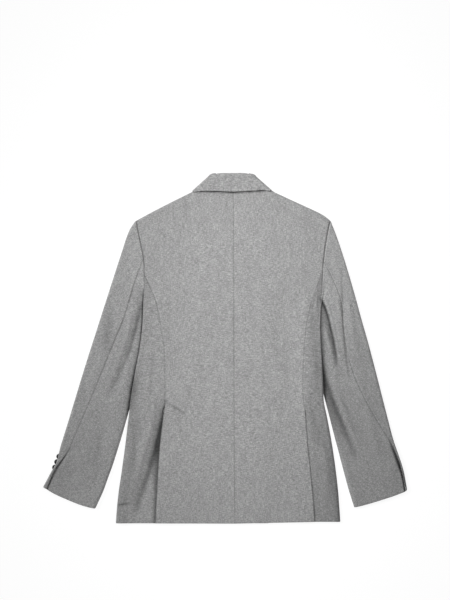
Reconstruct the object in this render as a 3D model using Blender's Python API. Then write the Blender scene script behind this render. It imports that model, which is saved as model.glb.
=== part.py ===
"""Double-breasted blazer in grey wool flannel, lying flat with its back up.

Frame: +X to the wearer's right, +Y to the neck, +Z up. The origin lies on the resting plane
under the centre-back seam, at half the length. Tables and sizes are in millimetres; objects
are made in metres. Every cloth piece is one wall: a middle surface of grid points, thickened
by half the cloth on each side. Pieces stop a small gap short of each other at the seams.
"""
import bmesh
import bpy
import numpy as np

MM = 0.001
LEFT, RIGHT = -1, 1
SIDE_NAME = {LEFT: "left", RIGHT: "right"}

# ---------------------------------------------------------------- driving sizes
CLOTH = 1.4            # flannel with its fusible backing
SEAM_GAP = 0.2         # each piece stops this far short of a seam line
LAYER_GAP = 0.3        # air between cloths that lie on each other
STEP = CLOTH + LAYER_GAP
FRONT_STEP = CLOTH + 1.4   # one front over the other
FLOOR_Z = CLOTH / 2    # middle of a cloth that lies on the resting plane
BACK_Z = 5.9           # middle of the back over the fronts
SLEEVE_Z = 5.5         # middle of a sleeve's upper layer
TUCKED_Z = 4.0         # the same where the body lies on the sleeve
LOWEST_UPPER_Z = 2.6   # an upper layer's troughs stop here, clear of the cloth below
CLOSURE_RISE = 1.5     # the back is higher over the doubled fronts and their buttons
CLOSURE_HALF = (62.0, 60.0)                        # half width at full height, fade
CLOSURE_SPAN = (-320.0, -225.0, 175.0, 275.0)      # heights y of its start, full, hold, end
BODY_LIFT = 5.4        # how far a side fold is raised by the sleeve under it
FOLD_RADIUS = 1.6      # middle radius of a raised side fold
HEM_Y = {LEFT: -370.6, RIGHT: -367.6}                  # at the side panels
HEM_CENTRE_Y = -371.2
CENTRE_SEAM = ((341, -3), (295, -1), (0, 0), (-369, 2))       # columns y, x

# Columns y, x: silhouette of the body, back seam of the side panel, armhole seam.
EDGE = {
    LEFT: ((128, -190), (102, -192), (50, -194), (0, -200), (-54, -210), (-110, -219),
           (-140, -222.5), (-210, -231.2), (-267, -239), (-315, -246), (-368, -250.5)),
    RIGHT: ((104, 186), (80, 184), (47, 183), (0, 185), (-50, 187.5), (-100, 189.5), (-117, 190.6),
            (-144, 196.5), (-181, 203.7), (-237, 212.7), (-301, 220.4), (-368, 225.3)),
}
SIDE_SEAM = {
    LEFT: ((156, -189.9), (136, -181), (115, -171), (92, -163), (61, -157.5), (32, -152),
           (-12, -146.5), (-75, -145.5), (-110, -145.5), (-145, -149.5), (-190, -155),
           (-311, -163), (-368, -166)),
    RIGHT: ((164, 187.9), (138, 179), (117, 171), (94, 164), (60, 155.5), (-35, 147.5),
            (-88, 146), (-129, 149.5), (-198, 154.5), (-250, 160), (-311, 166), (-368, 170)),
}
ARMHOLE = {
    LEFT: ((270, -207), (249, -203.5), (229, -199.5), (208, -195), (190, -192), (164, -190.2),
           (128, -190)),
    RIGHT: ((270, 204), (260, 201.2), (240, 198), (222, 194.5), (191, 190.5), (164, 187.9),
            (130, 186.3), (104, 186)),
}
# Columns x, y: from the neck point along the shoulder to the sleeve head.
SHOULDER = {
    LEFT: ((-74, 336), (-84, 332.8), (-92, 329), (-114, 318.3), (-126, 312.4), (-177, 286.4),
           (-207, 270)),
    RIGHT: ((74, 334.2), (80, 331.8), (88, 328.8), (119, 314.6), (163, 294.5), (190, 281),
            (204, 270)),
}
NECK_CENTRE_Y = 341.0
SHOULDER_TIP_Y = 270.0
BACK_NECK_SHARE, FRONT_NECK_SHARE = 0.34, 0.1       # of the columns in a panel's top edge
FRONT_SEAM_IN, FRONT_SEAM_RUN = 46.0, 90.0          # front seam in from the side fold; its start

# Vents: where each opens, how far the side panel reaches under the back, how the cloths part.
VENT_TOP_Y = {LEFT: -112.0, RIGHT: -118.0}
VENT_RAMP = 30.0
UNDERLAP = 34.0
VENT_PART = 1.05

# Sleeve sections from the armhole to the hem; columns: outer x, y; hind seam x, y; inner x, y.
SLEEVE = {
    LEFT: ((-208.4, 270.2, -191.7, 189, -190, 128),
           (-223.2, 246, -200, 167, -191.4, 113),
           (-239.2, 198.7, -212, 134, -188, 91),
           (-258.2, 140.7, -223, 96, -181, 62),
           (-276.2, 84.6, -236, 56, -178, 35),
           (-296.5, 21.3, -256, 9, -186, -13),
           (-321.7, -57.7, -287, -69, -212, -94),
           (-341.9, -125, -314, -134, -230.1, -161.7),
           (-358.7, -179.4, -338, -188, -247.4, -218.2),
           (-368.1, -210.1, -350, -218, -256.2, -246.3),
           (-375.2, -239, -366, -240, -268.6, -280.4),
           (-386.6, -260.6, -379.5, -260, -277.4, -304.4),
           (-404.6, -294, -395, -297, -293.6, -339.6)),
    RIGHT: ((204, 269.9, 190, 183, 186, 104),
            (217.1, 237.5, 202, 161, 185.4, 89),
            (234.8, 184.4, 214, 134, 179, 66),
            (253.6, 121.3, 227, 99, 172, 38),
            (269.1, 64.9, 231, 55, 167, 16),
            (287.6, -0.5, 241, -12, 171, -33),
            (305.1, -68.2, 263.5, -79, 190, -99),
            (321.9, -134, 296, -141, 206.1, -164.7),
            (333.8, -180.1, 322, -183, 218.9, -212.1),
            (339.6, -200.3, 333, -202, 224.5, -234.2),
            (351.4, -234.3, 345.5, -232, 233.3, -267.1),
            (359.9, -262, 354.5, -261, 241.7, -298),
            (366.8, -299.4, 361.8, -303, 254, -337.2)),
}
SLEEVE_ROWS = np.array([0, .35, .8, 1.3, 1.9, 2.6, 3.3, 4, 4.8, 5.7, 6.6, 7.5, 8.3, 9, 9.5, 10,
                        10.5, 11, 11.6, 12])
HEM_BOW = {LEFT: 5.6, RIGHT: 2.6}      # how far the sleeve hem bows out below a straight line
CUFF_SECTION = 9                       # section at the top of the cuff slit
CUFF_SLIT = {LEFT: 1.6, RIGHT: 1.9}    # half the slit's width at the hem
FORESEAM = 30.0                        # forearm seam to the inner fold, on the underside
TUCK_SECTIONS = {LEFT: (0.2, 1.2, 6.4, 7.6), RIGHT: (0.2, 1.2, 5.6, 6.6)}

# The body's side folds rise over the tucked sleeves between these heights y.
LIFT_SPAN = {LEFT: (128.0, 106.0, -150.0, -205.0), RIGHT: (104.0, 84.0, -112.0, -175.0)}
LIFT_FLAT = {LEFT: 24.0, RIGHT: 28.0}
LIFT_FADE = 48.0

# Fronts, finished plainly on the underside.
FRONT_EDGE_X = 72.0
BREAK_Y = 12.0
ROLL_TOP = (50.0, 338.0)
NECK_FRONT = (56.0, 312.0)
ROLL_RADIUS = STEP / 2
ROLL_BOW = 0.8                                      # bow of the roll line to the opening
# Columns y, x: the rim of the folded-out layers (lapel, then collar), as |x|.
FOLDED_RIM = ((12, -62), (60, 8), (120, 64), (200, 108), (250, 128), (285, 137), (300, 130),
              (315, 112), (332, 100), (345, 96), (371, 92))
FOLDED_MARGIN, FOLDED_FADE = 24.0, 30.0
LAPEL_TOP = ((44, 315), (92, 288), (137, 293))      # gorge at the roll, notch, peak
LAPEL_RIM = ((137, 293), (132, 272), (120, 238), (104, 200), (56, 120), (-3, 60), (-62, 14))
LEFT_LAPEL_END = ((-3, 212), (-50, 82))             # where the left lapel meets the right one
LAPEL_LIFT = 0.08                                   # its rim lies this much above the plane

BUTTON_COLUMN_X = 52.0
BUTTON_ROWS_Y = (-8.0, -100.0, -192.0)
BUTTON_RADIUS, BUTTON_THICK = 11.0, 2.0
BUTTON_STRIP = (22.0, 14.0, 44.0)   # raised strip: flat half width, fade, run past the buttons
CUFF_BUTTON_RADIUS, CUFF_BUTTON_THICK = 6.0, 1.9
CUFF_BUTTON_PITCH = 12.4
CUFF_BUTTON_FIRST = {LEFT: (-370.6, -230.0), RIGHT: (330.0, -214.0)}
CUFF_BUTTON_RUN = {LEFT: (-0.36, -0.933), RIGHT: (0.3, -0.954)}
CUFF_BUTTONS = 3
CUFF_RAISE = (13.0, 20.0)                           # raised cloth round them: flat, fade
CUFF_SPARE = 0.8                                    # rise of the upper layer over them

# Collar. Columns x, y along the leaf edge; the slants are its folded ends.
LEAF_EDGE = ((-88, 335.6), (-70, 332.5), (-40, 332), (-3, 330.3), (27, 331.7), (49, 333),
             (68, 335), (80.5, 335))
FOLD_EDGE = ((-50, 369), (-44, 370.3), (-20, 370.7), (18, 370.9), (39, 369.6), (45, 367))
SLANT = {LEFT: ((-88, 335.6), (-50, 369)), RIGHT: ((80.5, 335), (45, 367))}
GORGE = {LEFT: ((-91, 291), (-44, 317.5)), RIGHT: ((91, 291), (44, 317.5))}
COLLAR_Z, COLLAR_RISE = 7.9, 0.7
COLLAR_ROLL, COLLAR_RETURN = 1.0, 7.0
STAND_HALF, STAND_X = (44.0, 64.0), -2.0            # half widths at its top and neck seam; middle

# Soft folds of the upper layer; columns: x0, y0, x1, y1, half width, height (+ridge, -trough).
FOLDS = (
    (-150, -122, -176, -238, 16, -1.5),    # trough on the left side panel, from the vent
    (-176, -238, -206, -345, 20, -1.3),
    (-142, -112, -106, -138, 7, -0.7),     # drag line at the left vent's top
    (-139, -122, -104, -148, 9, 0.6),
    (-214, -150, -212, -310, 12, 0.8),
    (62, -261, 94, -224, 12, -0.6),
    (168, -122, 205, -262, 15, -1.3),      # fall of the right side panel
    (196, -222, 208, -340, 14, 0.9),
    (-200, 92, -219, 4, 13, -1.8),         # troughs of the left sleeve
    (-219, 4, -256, -92, 15, -1.4),
    (-263, 80, -266, 5, 15, -1.1),
    (-228, 60, -250, -20, 14, 0.9),
    (-214, -70, -226, -135, 9, -1.2),
    (-300, -110, -330, -210, 16, 0.6),
    (188, 104, 204, 60, 10, -2.2),         # troughs of the right sleeve
    (204, 60, 222, -36, 12, -2.6),
    (222, -36, 240, -90, 15, -1.2),
    (226, 96, 231, 20, 9, -1.0),
    (214, 84, 222, 30, 9, 0.9),
    (193, -30, 214, -122, 12, -1.4),
    (206, -90, 240, -182, 11, 0.9),
    (262, 40, 300, -120, 22, 0.7),
)

GREY_CLOTH = (0.29, 0.29, 0.295, 1.0)
DARK_BUTTON = (0.03, 0.03, 0.034, 1.0)


# ---------------------------------------------------------------- curves
def spline(rows, at):
    """Smooth value through the rows (t, value) that never overshoots them."""
    table = np.array(sorted(rows), float)
    t, value = table[:, 0], table[:, 1]
    step = np.diff(t)
    slope = np.diff(value) / step
    tangent = np.concatenate(([slope[0]], (slope[1:] + slope[:-1]) / 2, [slope[-1]]))
    for k in range(1, len(t) - 1):
        if slope[k - 1] * slope[k] <= 0:
            tangent[k] = 0.0
    for k, rise in enumerate(slope):
        limit = 3 * abs(rise)
        tangent[k] = np.clip(tangent[k], -limit, limit)
        tangent[k + 1] = np.clip(tangent[k + 1], -limit, limit)
    at = np.clip(np.asarray(at, float), t[0], t[-1])
    k = np.clip(np.searchsorted(t, at, side="right") - 1, 0, len(step) - 1)
    s = (at - t[k]) / step[k]
    return ((2 * s**3 - 3 * s**2 + 1) * value[k] + (s**3 - 2 * s**2 + s) * step[k] * tangent[k]
            + (3 * s**2 - 2 * s**3) * value[k + 1] + (s**3 - s**2) * step[k] * tangent[k + 1])


def along(points, at):
    """Point at the fraction `at` of the way along a polyline of (x, y) points."""
    points = np.array(points, float)
    run = np.concatenate(([0], np.cumsum(np.hypot(*np.diff(points, axis=0).T))))
    run /= run[-1]
    return np.stack([np.interp(at, run, points[:, 0]), np.interp(at, run, points[:, 1])], -1)


def smooth_path(points, at, samples=24):
    """Like `along`, on a smooth curve through the points."""
    points = np.array(points, float)
    run = np.concatenate(([0], np.cumsum(np.hypot(*np.diff(points, axis=0).T))))
    fine = np.linspace(0, run[-1], samples * len(points))
    x = spline(list(zip(run, points[:, 0])), fine)
    y = spline(list(zip(run, points[:, 1])), fine)
    return along(np.stack([x, y], -1), at)


def ease(value):
    """0 below 0, 1 above 1, smooth between."""
    value = np.clip(value, 0, 1)
    return value * value * (3 - 2 * value)


def band(value, start, full, hold, end):
    """0 outside start..end, 1 within full..hold, smooth between; the limits may fall."""
    return ease((value - start) / (full - start)) * ease((end - value) / (end - hold))


# ---------------------------------------------------------------- plan of the body
def armhole_x(side, y):
    return spline(ARMHOLE[side], y)


def edge_x(side, y):
    return spline(EDGE[side], y)


def seam_x(side, y):
    return spline(SIDE_SEAM[side], y)


def centre_x(y):
    return spline(CENTRE_SEAM, y)


def underarm_y(side):
    return EDGE[side][0][0]


def seam_top_y(side):
    return SIDE_SEAM[side][0][0]


# ---------------------------------------------------------------- heights
def lift(x, y):
    """How far the body's lowest cloth is raised by the sleeve tucked under it."""
    side_lift = 0.0
    for side in (LEFT, RIGHT):
        inward = (edge_x(side, y) - x) * side
        across = 1 - ease((inward - LIFT_FLAT[side]) / LIFT_FADE)
        side_lift = side_lift + BODY_LIFT * across * band(y, *LIFT_SPAN[side])
    return side_lift


def button_strip(x, y):
    """1 along each column of front buttons, fading to 0 around it."""
    flat, fade, past = BUTTON_STRIP
    beyond = np.maximum(y - BUTTON_ROWS_Y[0], BUTTON_ROWS_Y[-1] - y)
    beside = np.abs(np.abs(x) - BUTTON_COLUMN_X)
    return (1 - ease((beside - flat) / fade)) * (1 - ease((beyond - past) / (2 * fade)))


def folded_zone(side, x, y):
    """1 where a lapel or the collar lies folded out under this side's front."""
    out_by = x * side - spline(FOLDED_RIM, y)
    return (1 - ease((out_by - FOLDED_MARGIN) / FOLDED_FADE)) * ease((y - BREAK_Y + 34) / 26)


def roll_x(side, y):
    """The roll line, which bows a little to the opening, and the free front edge below it."""
    (top_x, top_y), low_x = ROLL_TOP, -FRONT_EDGE_X
    share = (np.clip(y, BREAK_Y, top_y) - BREAK_Y) / (top_y - BREAK_Y)
    x = low_x + (top_x - low_x) * share - ROLL_BOW * 4 * share * (1 - share)
    return side * x


def right_front_z(x, y):
    raised = np.maximum(STEP * folded_zone(RIGHT, x, y),
                        (BUTTON_THICK + LAYER_GAP) * button_strip(x, y))
    return FLOOR_Z + np.maximum(raised, lift(x, y))


def left_front_z(x, y):
    alone = FLOOR_Z + np.maximum(STEP * folded_zone(LEFT, x, y), lift(x, y))
    covered = 1 - ease((roll_x(RIGHT, y) - 6 - x) / 26)
    return alone + (right_front_z(x, y) + FRONT_STEP - alone) * covered


def fold_z(x, y):
    """Sum of the soft ridges and troughs."""
    total = 0.0
    for x0, y0, x1, y1, width, height in FOLDS:
        length = np.hypot(x1 - x0, y1 - y0)
        ux, uy = (x1 - x0) / length, (y1 - y0) / length
        run = (x - x0) * ux + (y - y0) * uy
        off = (x - x0) * uy - (y - y0) * ux
        ends = np.clip(np.maximum(-run, run - length), 0, None)
        total = total + height * np.exp(-(off / width)**2 - (ends / (1.6 * width))**2)
    return total


def body_top_z(x, y):
    """Middle of the back and of the side panels' upper layer."""
    side_top = 2 * FOLD_RADIUS + BODY_LIFT + FLOOR_Z - BACK_Z
    raised = lift(x, y)
    flat, fade = CLOSURE_HALF
    closure = CLOSURE_RISE * (1 - ease((np.abs(x) - flat) / fade)) * band(y, *CLOSURE_SPAN)
    relaxed = np.maximum(BACK_Z + closure + fold_z(x, y), LOWEST_UPPER_Z)
    return relaxed + side_top / BODY_LIFT * raised


def vent_part(side, x, y):
    """Half the height by which back and side panel part along the vent."""
    away = np.abs(x - seam_x(side, y))
    opened = ease((VENT_TOP_Y[side] + 4 - y) / VENT_RAMP)
    return VENT_PART * opened * (1 - ease((away - UNDERLAP) / 40))


# ---------------------------------------------------------------- walls
def unit(vectors):
    return vectors / np.maximum(np.linalg.norm(vectors, axis=-1, keepdims=True), 1e-9)


def wall_mesh(grid, flat_start=None):
    """Vertices (m) and faces of a closed wall round the middle surface `grid` (rows, columns, 3).

    flat_start: direction that the first row's thickness must not lean into.
    """
    normal = unit(np.cross(np.gradient(grid, axis=0), np.gradient(grid, axis=1)))
    if flat_start is not None:
        axis = np.array(flat_start, float)
        normal[0] = unit(normal[0] - (normal[0] @ axis)[:, None] * axis)
    rows, columns = grid.shape[:2]
    vertices = np.concatenate([(grid + normal * CLOTH / 2).reshape(-1, 3),
                               (grid - normal * CLOTH / 2).reshape(-1, 3)])

    def at(layer, i, j):
        return layer * rows * columns + i * columns + j

    faces = []
    for i in range(rows - 1):
        for j in range(columns - 1):
            faces.append((at(0, i, j), at(0, i, j + 1), at(0, i + 1, j + 1), at(0, i + 1, j)))
            faces.append((at(1, i, j), at(1, i + 1, j), at(1, i + 1, j + 1), at(1, i, j + 1)))
    rim = [(0, j) for j in range(columns)] + [(i, columns - 1) for i in range(1, rows)]
    rim += [(rows - 1, j) for j in range(columns - 2, -1, -1)]
    rim += [(i, 0) for i in range(rows - 2, 0, -1)]
    for k, (i, j) in enumerate(rim):
        i2, j2 = rim[(k + 1) % len(rim)]
        faces.append((at(0, i2, j2), at(0, i, j), at(1, i, j), at(1, i2, j2)))
    return vertices * MM, faces


def add_object(name, vertices, faces, material):
    mesh = bpy.data.meshes.new(name)
    mesh.from_pydata([tuple(v) for v in vertices], [], faces)
    bm = bmesh.new()
    bm.from_mesh(mesh)
    bmesh.ops.recalc_face_normals(bm, faces=bm.faces)
    bm.to_mesh(mesh)
    bm.free()
    mesh.shade_smooth()
    mesh.set_sharp_from_angle(angle=np.radians(40))
    mesh.materials.append(material)
    obj = bpy.data.objects.new(name, mesh)
    bpy.context.scene.collection.objects.link(obj)
    return obj


def add_cloth(name, grid, material, flat_start=None):
    return add_object(name, *wall_mesh(grid, flat_start), material)


def coons(left, right, top, bottom, u, v):
    """Plan points of a four-sided patch: left, right run with v; top (v=0), bottom run with u."""
    u2, v2 = u[..., None], v[..., None]
    corners = ((1 - u2) * (1 - v2) * top(0.0) + u2 * (1 - v2) * top(1.0)
               + (1 - u2) * v2 * bottom(0.0) + u2 * v2 * bottom(1.0))
    return ((1 - u2) * left(v) + u2 * right(v) + (1 - v2) * top(u) + v2 * bottom(u) - corners)


def shoulder_panel(left, right, top, bottom, columns, rows, height, meet_height, neck_share):
    """Panel whose top edge turns over half a fold along the shoulder, to meet its neighbour.

    height: middle of this cloth; meet_height: middle between the two cloths at the shoulder.
    """
    turn = np.radians([90, 60, 30, 0])
    u = np.tile(columns, (len(turn) + len(rows), 1))
    v = np.zeros_like(u)
    edge = coons(left, right, top, bottom, u[0], v[0])
    inner = coons(left, right, top, bottom, u[0], v[0] + 0.01)
    column_run = inner - edge
    tangent = unit(np.gradient(edge, axis=0))
    depth = np.abs(column_run[:, 0] * tangent[:, 1] - column_run[:, 1] * tangent[:, 0]) / 0.01
    reach = np.abs(height(*edge.T) - meet_height(*edge.T))
    turned = ease((columns - neck_share) / 0.03)
    for k, angle in enumerate(turn):
        v[k] = (CLOTH / 2 * turned + reach * (1 - np.sin(angle))) / depth
    start = v[len(turn) - 1]
    for k, row in enumerate(rows):
        v[len(turn) + k] = row + start * max(0.0, 1 - row / rows[4])
    plan = coons(left, right, top, bottom, u, v)
    z = height(plan[..., 0], plan[..., 1])
    middle = meet_height(*edge.T)
    for k, angle in enumerate(turn):
        rolled = middle + (z[k] - middle) * np.cos(angle)
        if angle == turn[0]:
            rolled = rolled + np.sign(z[k] - middle) * 1.2 * LAYER_GAP
        z[k] += (rolled - z[k]) * turned
    return np.concatenate([plan, z[..., None]], -1)


# ---------------------------------------------------------------- back and side panels
def shoulder_meet_z(side):
    front_z = right_front_z if side == RIGHT else left_front_z
    return lambda x, y: (body_top_z(x, y) + front_z(x, y)) / 2


def outer_path(side, seam, inset, top_y, v):
    """Armhole from the shoulder down to the seam's top, then the seam down to the hem."""
    y = top_y + (HEM_Y[side] - top_y) * v
    x = np.where(y > seam_top_y(side), armhole_x(side, y), seam(side, y))
    return np.stack([x - side * inset, y], -1)


def top_path(side, start_x, start_y, u, neck_share):
    """Neck seam, then the shoulder line."""
    shoulder = SHOULDER[side]
    neck_u = np.clip(u / neck_share, 0, 1)
    neck = np.stack([start_x + (shoulder[0][0] - start_x) * neck_u,
                     start_y + (shoulder[0][1] - start_y) * neck_u**2], -1)
    slope = smooth_path(shoulder, np.clip((u - neck_share) / (1 - neck_share), 0, 1))
    slope[..., 0] -= side * SEAM_GAP * np.clip((u - neck_share) / (1 - neck_share), 0, 1)
    return np.where((u < neck_share)[..., None], neck, slope)


def back_panel(side):
    """Half of the back, from the centre seam to the armhole and the side seam."""
    neck_share = BACK_NECK_SHARE
    gap = side * SEAM_GAP

    def centre(v):
        y = NECK_CENTRE_Y + (HEM_CENTRE_Y - NECK_CENTRE_Y) * v
        return np.stack([centre_x(y) + gap, y], -1)

    def top(u):
        return top_path(side, centre_x(NECK_CENTRE_Y) + gap, NECK_CENTRE_Y, np.asarray(u, float),
                        neck_share)

    def outer(v):
        return outer_path(side, seam_x, SEAM_GAP, SHOULDER_TIP_Y, v)

    def bottom(u):
        start, end = centre(np.array(1.0)), outer(np.array(1.0))
        u = np.asarray(u, float)[..., None]
        return start + (end - start) * u

    def height(x, y):
        return body_top_z(x, y) + vent_part(side, x, y)

    columns = np.array([0, 0.1, 0.2, 0.34, 0.45, 0.56, 0.68, 0.79, 0.88, 0.95, 1.0])
    rows = seam_shares(side, SHOULDER_TIP_Y)
    return shoulder_panel(centre, outer, top, bottom, columns, rows, height,
                          shoulder_meet_z(side), neck_share)


def seam_rows(side):
    """Heights y of the rows along the side seams, closest at the underarm and the vent."""
    top, vent = seam_top_y(side), VENT_TOP_Y[side]
    opened = vent + 4 - VENT_RAMP
    return np.concatenate([top - np.array([0, 9, 20, 34, 52]),
                           np.linspace(top - 84, vent + 4, 7),
                           [vent + 4 - VENT_RAMP / 2, opened, opened - 8, opened - 16],
                           np.linspace(opened - 16, HEM_Y[side], 7)[1:]])


def seam_shares(side, top_y):
    """The armhole's rows and these, as shares of the way from top_y to the hem."""
    shares = (top_y - seam_rows(side)) / (top_y - HEM_Y[side])
    return np.concatenate([np.linspace(0, shares[0], 7)[1:-1], shares])


def side_panel(side):
    """Side panel: down from the back seam, round the side fold and in to the front seam."""
    seam_y = seam_rows(side)
    v = (seam_y[0] - seam_y) / (seam_y[0] - HEM_Y[side])
    fold_y = underarm_y(side) + (HEM_Y[side] - underarm_y(side)) * v
    opened = ease((VENT_TOP_Y[side] - VENT_RAMP + 4 - seam_y) / 16)
    seam = np.stack([seam_x(side, seam_y) + side * SEAM_GAP
                     - side * (UNDERLAP + SEAM_GAP) * opened, seam_y], -1)
    front = np.stack([front_seam_x(side, seam_y) + side * SEAM_GAP, seam_y], -1)
    fold = np.stack([edge_x(side, fold_y), fold_y], -1)
    shrink = ease(v / 0.03) * CLOTH / 2
    fold[:, 0] -= side * np.where(v > 0, shrink, SEAM_GAP)
    outward = unit(fold - seam)

    def height(x, y):
        return body_top_z(x, y) - vent_part(side, x, y)

    def low(x, y):
        return (right_front_z if side == RIGHT else left_front_z)(x, y)

    return fold_round(seam, fold, front, outward, height, low, (6, 6, 5),
                      lambda y: armhole_x(side, y) - side * SEAM_GAP)


def front_seam_x(side, y):
    """Seam between side panel and front, on the underside."""
    straight = edge_x(side, y) - side * FRONT_SEAM_IN
    blend = ease((seam_top_y(side) - y) / FRONT_SEAM_RUN)
    return seam_x(side, y) * (1 - blend) + straight * blend


def fold_round(upper, fold, lower, outward, upper_z, lower_z, counts, start_x=None):
    """Grid of a cloth that runs from `upper` to the fold, turns under and runs to `lower`.

    Each is a row of plan points. start_x gives x of the first row, which lies in the armhole.
    """
    high = upper_z(fold[:, 0], fold[:, 1])
    radius = (high - lower_z(fold[:, 0], fold[:, 1])) / 2
    turn_at = fold - outward * radius[:, None]
    flat_above, turns, flat_below = counts
    grid = []
    for s in np.linspace(0, 1, flat_above)[:-1]:
        plan = upper + (turn_at - upper) * s
        grid.append((plan, upper_z(plan[:, 0], plan[:, 1])))
    top = upper_z(turn_at[:, 0], turn_at[:, 1])
    bottom = lower_z(turn_at[:, 0], turn_at[:, 1])
    half, middle = (top - bottom) / 2, (top + bottom) / 2
    for angle in np.linspace(0, np.pi, turns + 1):
        plan = turn_at + outward * (radius * np.sin(angle))[:, None]
        grid.append((plan, middle + half * np.cos(angle)))
    for s in np.linspace(0, 1, flat_below)[1:]:
        plan = turn_at + (lower - turn_at) * s
        grid.append((plan, lower_z(plan[:, 0], plan[:, 1])))
    plan = np.stack([p for p, _ in grid], 1)
    z = np.stack([h for _, h in grid], 1)
    if start_x is not None:
        plan[0, :, 0] = start_x(plan[0, :, 1])
    return np.concatenate([plan, z[..., None]], -1)


# ---------------------------------------------------------------- fronts and lapels
def front_panel(side):
    """Half of the front, on the underside: shoulder, armhole, front seam, hem, roll line."""
    neck_share = FRONT_NECK_SHARE

    def inner(v):
        top_y = NECK_FRONT[1]
        y = top_y + (HEM_Y[side] - top_y) * v
        inset = (ROLL_RADIUS + CLOTH / 2 + 2 * LAYER_GAP) * ease((y - BREAK_Y + 4) / 6)
        x = roll_x(side, y) + side * inset
        neck = ease((y - top_y + 14) / 14)
        return np.stack([x + (side * NECK_FRONT[0] - x) * neck, y], -1)

    def top(u):
        start = inner(np.array(0.0))
        return top_path(side, start[0], start[1], np.asarray(u, float), neck_share)

    def outer(v):
        return outer_path(side, front_seam_x, SEAM_GAP, SHOULDER_TIP_Y, v)

    def bottom(u):
        start, end = inner(np.array(1.0)), outer(np.array(1.0))
        u = np.asarray(u, float)[..., None]
        return start + (end - start) * u

    height = right_front_z if side == RIGHT else left_front_z
    columns = np.array([0, .05, .1, .19, .31, .4, .48, .58, .68, .79, .89, 1.0])
    rows = seam_shares(side, SHOULDER_TIP_Y)
    return shoulder_panel(inner, outer, top, bottom, columns, rows, height,
                          shoulder_meet_z(side), neck_share)


def lapel_panel(side):
    """Peaked lapel on the underside, rolled up to its front along the roll line."""
    end = LEFT_LAPEL_END if side == LEFT else None
    rows = np.linspace(0, 1, 12)

    def roll(v):
        low = end[0][1] if end else BREAK_Y + 2
        y = LAPEL_TOP[0][1] + (low - LAPEL_TOP[0][1]) * v
        return np.stack([roll_x(side, y), y], -1)

    def rim(v):
        path = np.array(LAPEL_RIM, float)
        if end:
            keep = path[path[:, 1] > 100]
            path = np.concatenate([keep, [(-end[1][0], end[1][1])]])
        return smooth_path(path, v) * (side, 1)

    def top(u):
        return along(np.array(LAPEL_TOP) * (side, 1), u)

    def bottom(u):
        start, stop = roll(np.array(1.0)), rim(np.array(1.0))
        return start + (stop - start) * np.asarray(u, float)[..., None]

    gorge, peak = np.hypot(*np.diff(np.array(LAPEL_TOP, float), axis=0).T)
    notch = gorge / (gorge + peak)
    columns = np.array([0, notch / 2, notch, (notch + 1) / 2, 1])
    u, v = np.meshgrid(columns, rows)
    plan = coons(roll, rim, top, bottom, u, v)
    edge = roll(rows)
    outward = unit(edge - plan[:, 1])
    turn_at = edge - outward * (ROLL_RADIUS + CLOTH / 2)
    plan[:, 0] = turn_at
    flat = np.concatenate([plan, FLOOR_Z + (LAPEL_LIFT * u**2 * (1 - v / 2))[..., None]], -1)
    turned = []
    for angle in np.radians([180, 135, 90, 45]):
        point = turn_at + outward * ROLL_RADIUS * np.sin(angle)
        z = FLOOR_Z + ROLL_RADIUS * (1 - np.cos(angle))
        turned.append(np.concatenate([point, np.full((len(rows), 1), z)], -1))
    return np.concatenate([np.stack(turned, 1), flat], 1)


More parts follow.
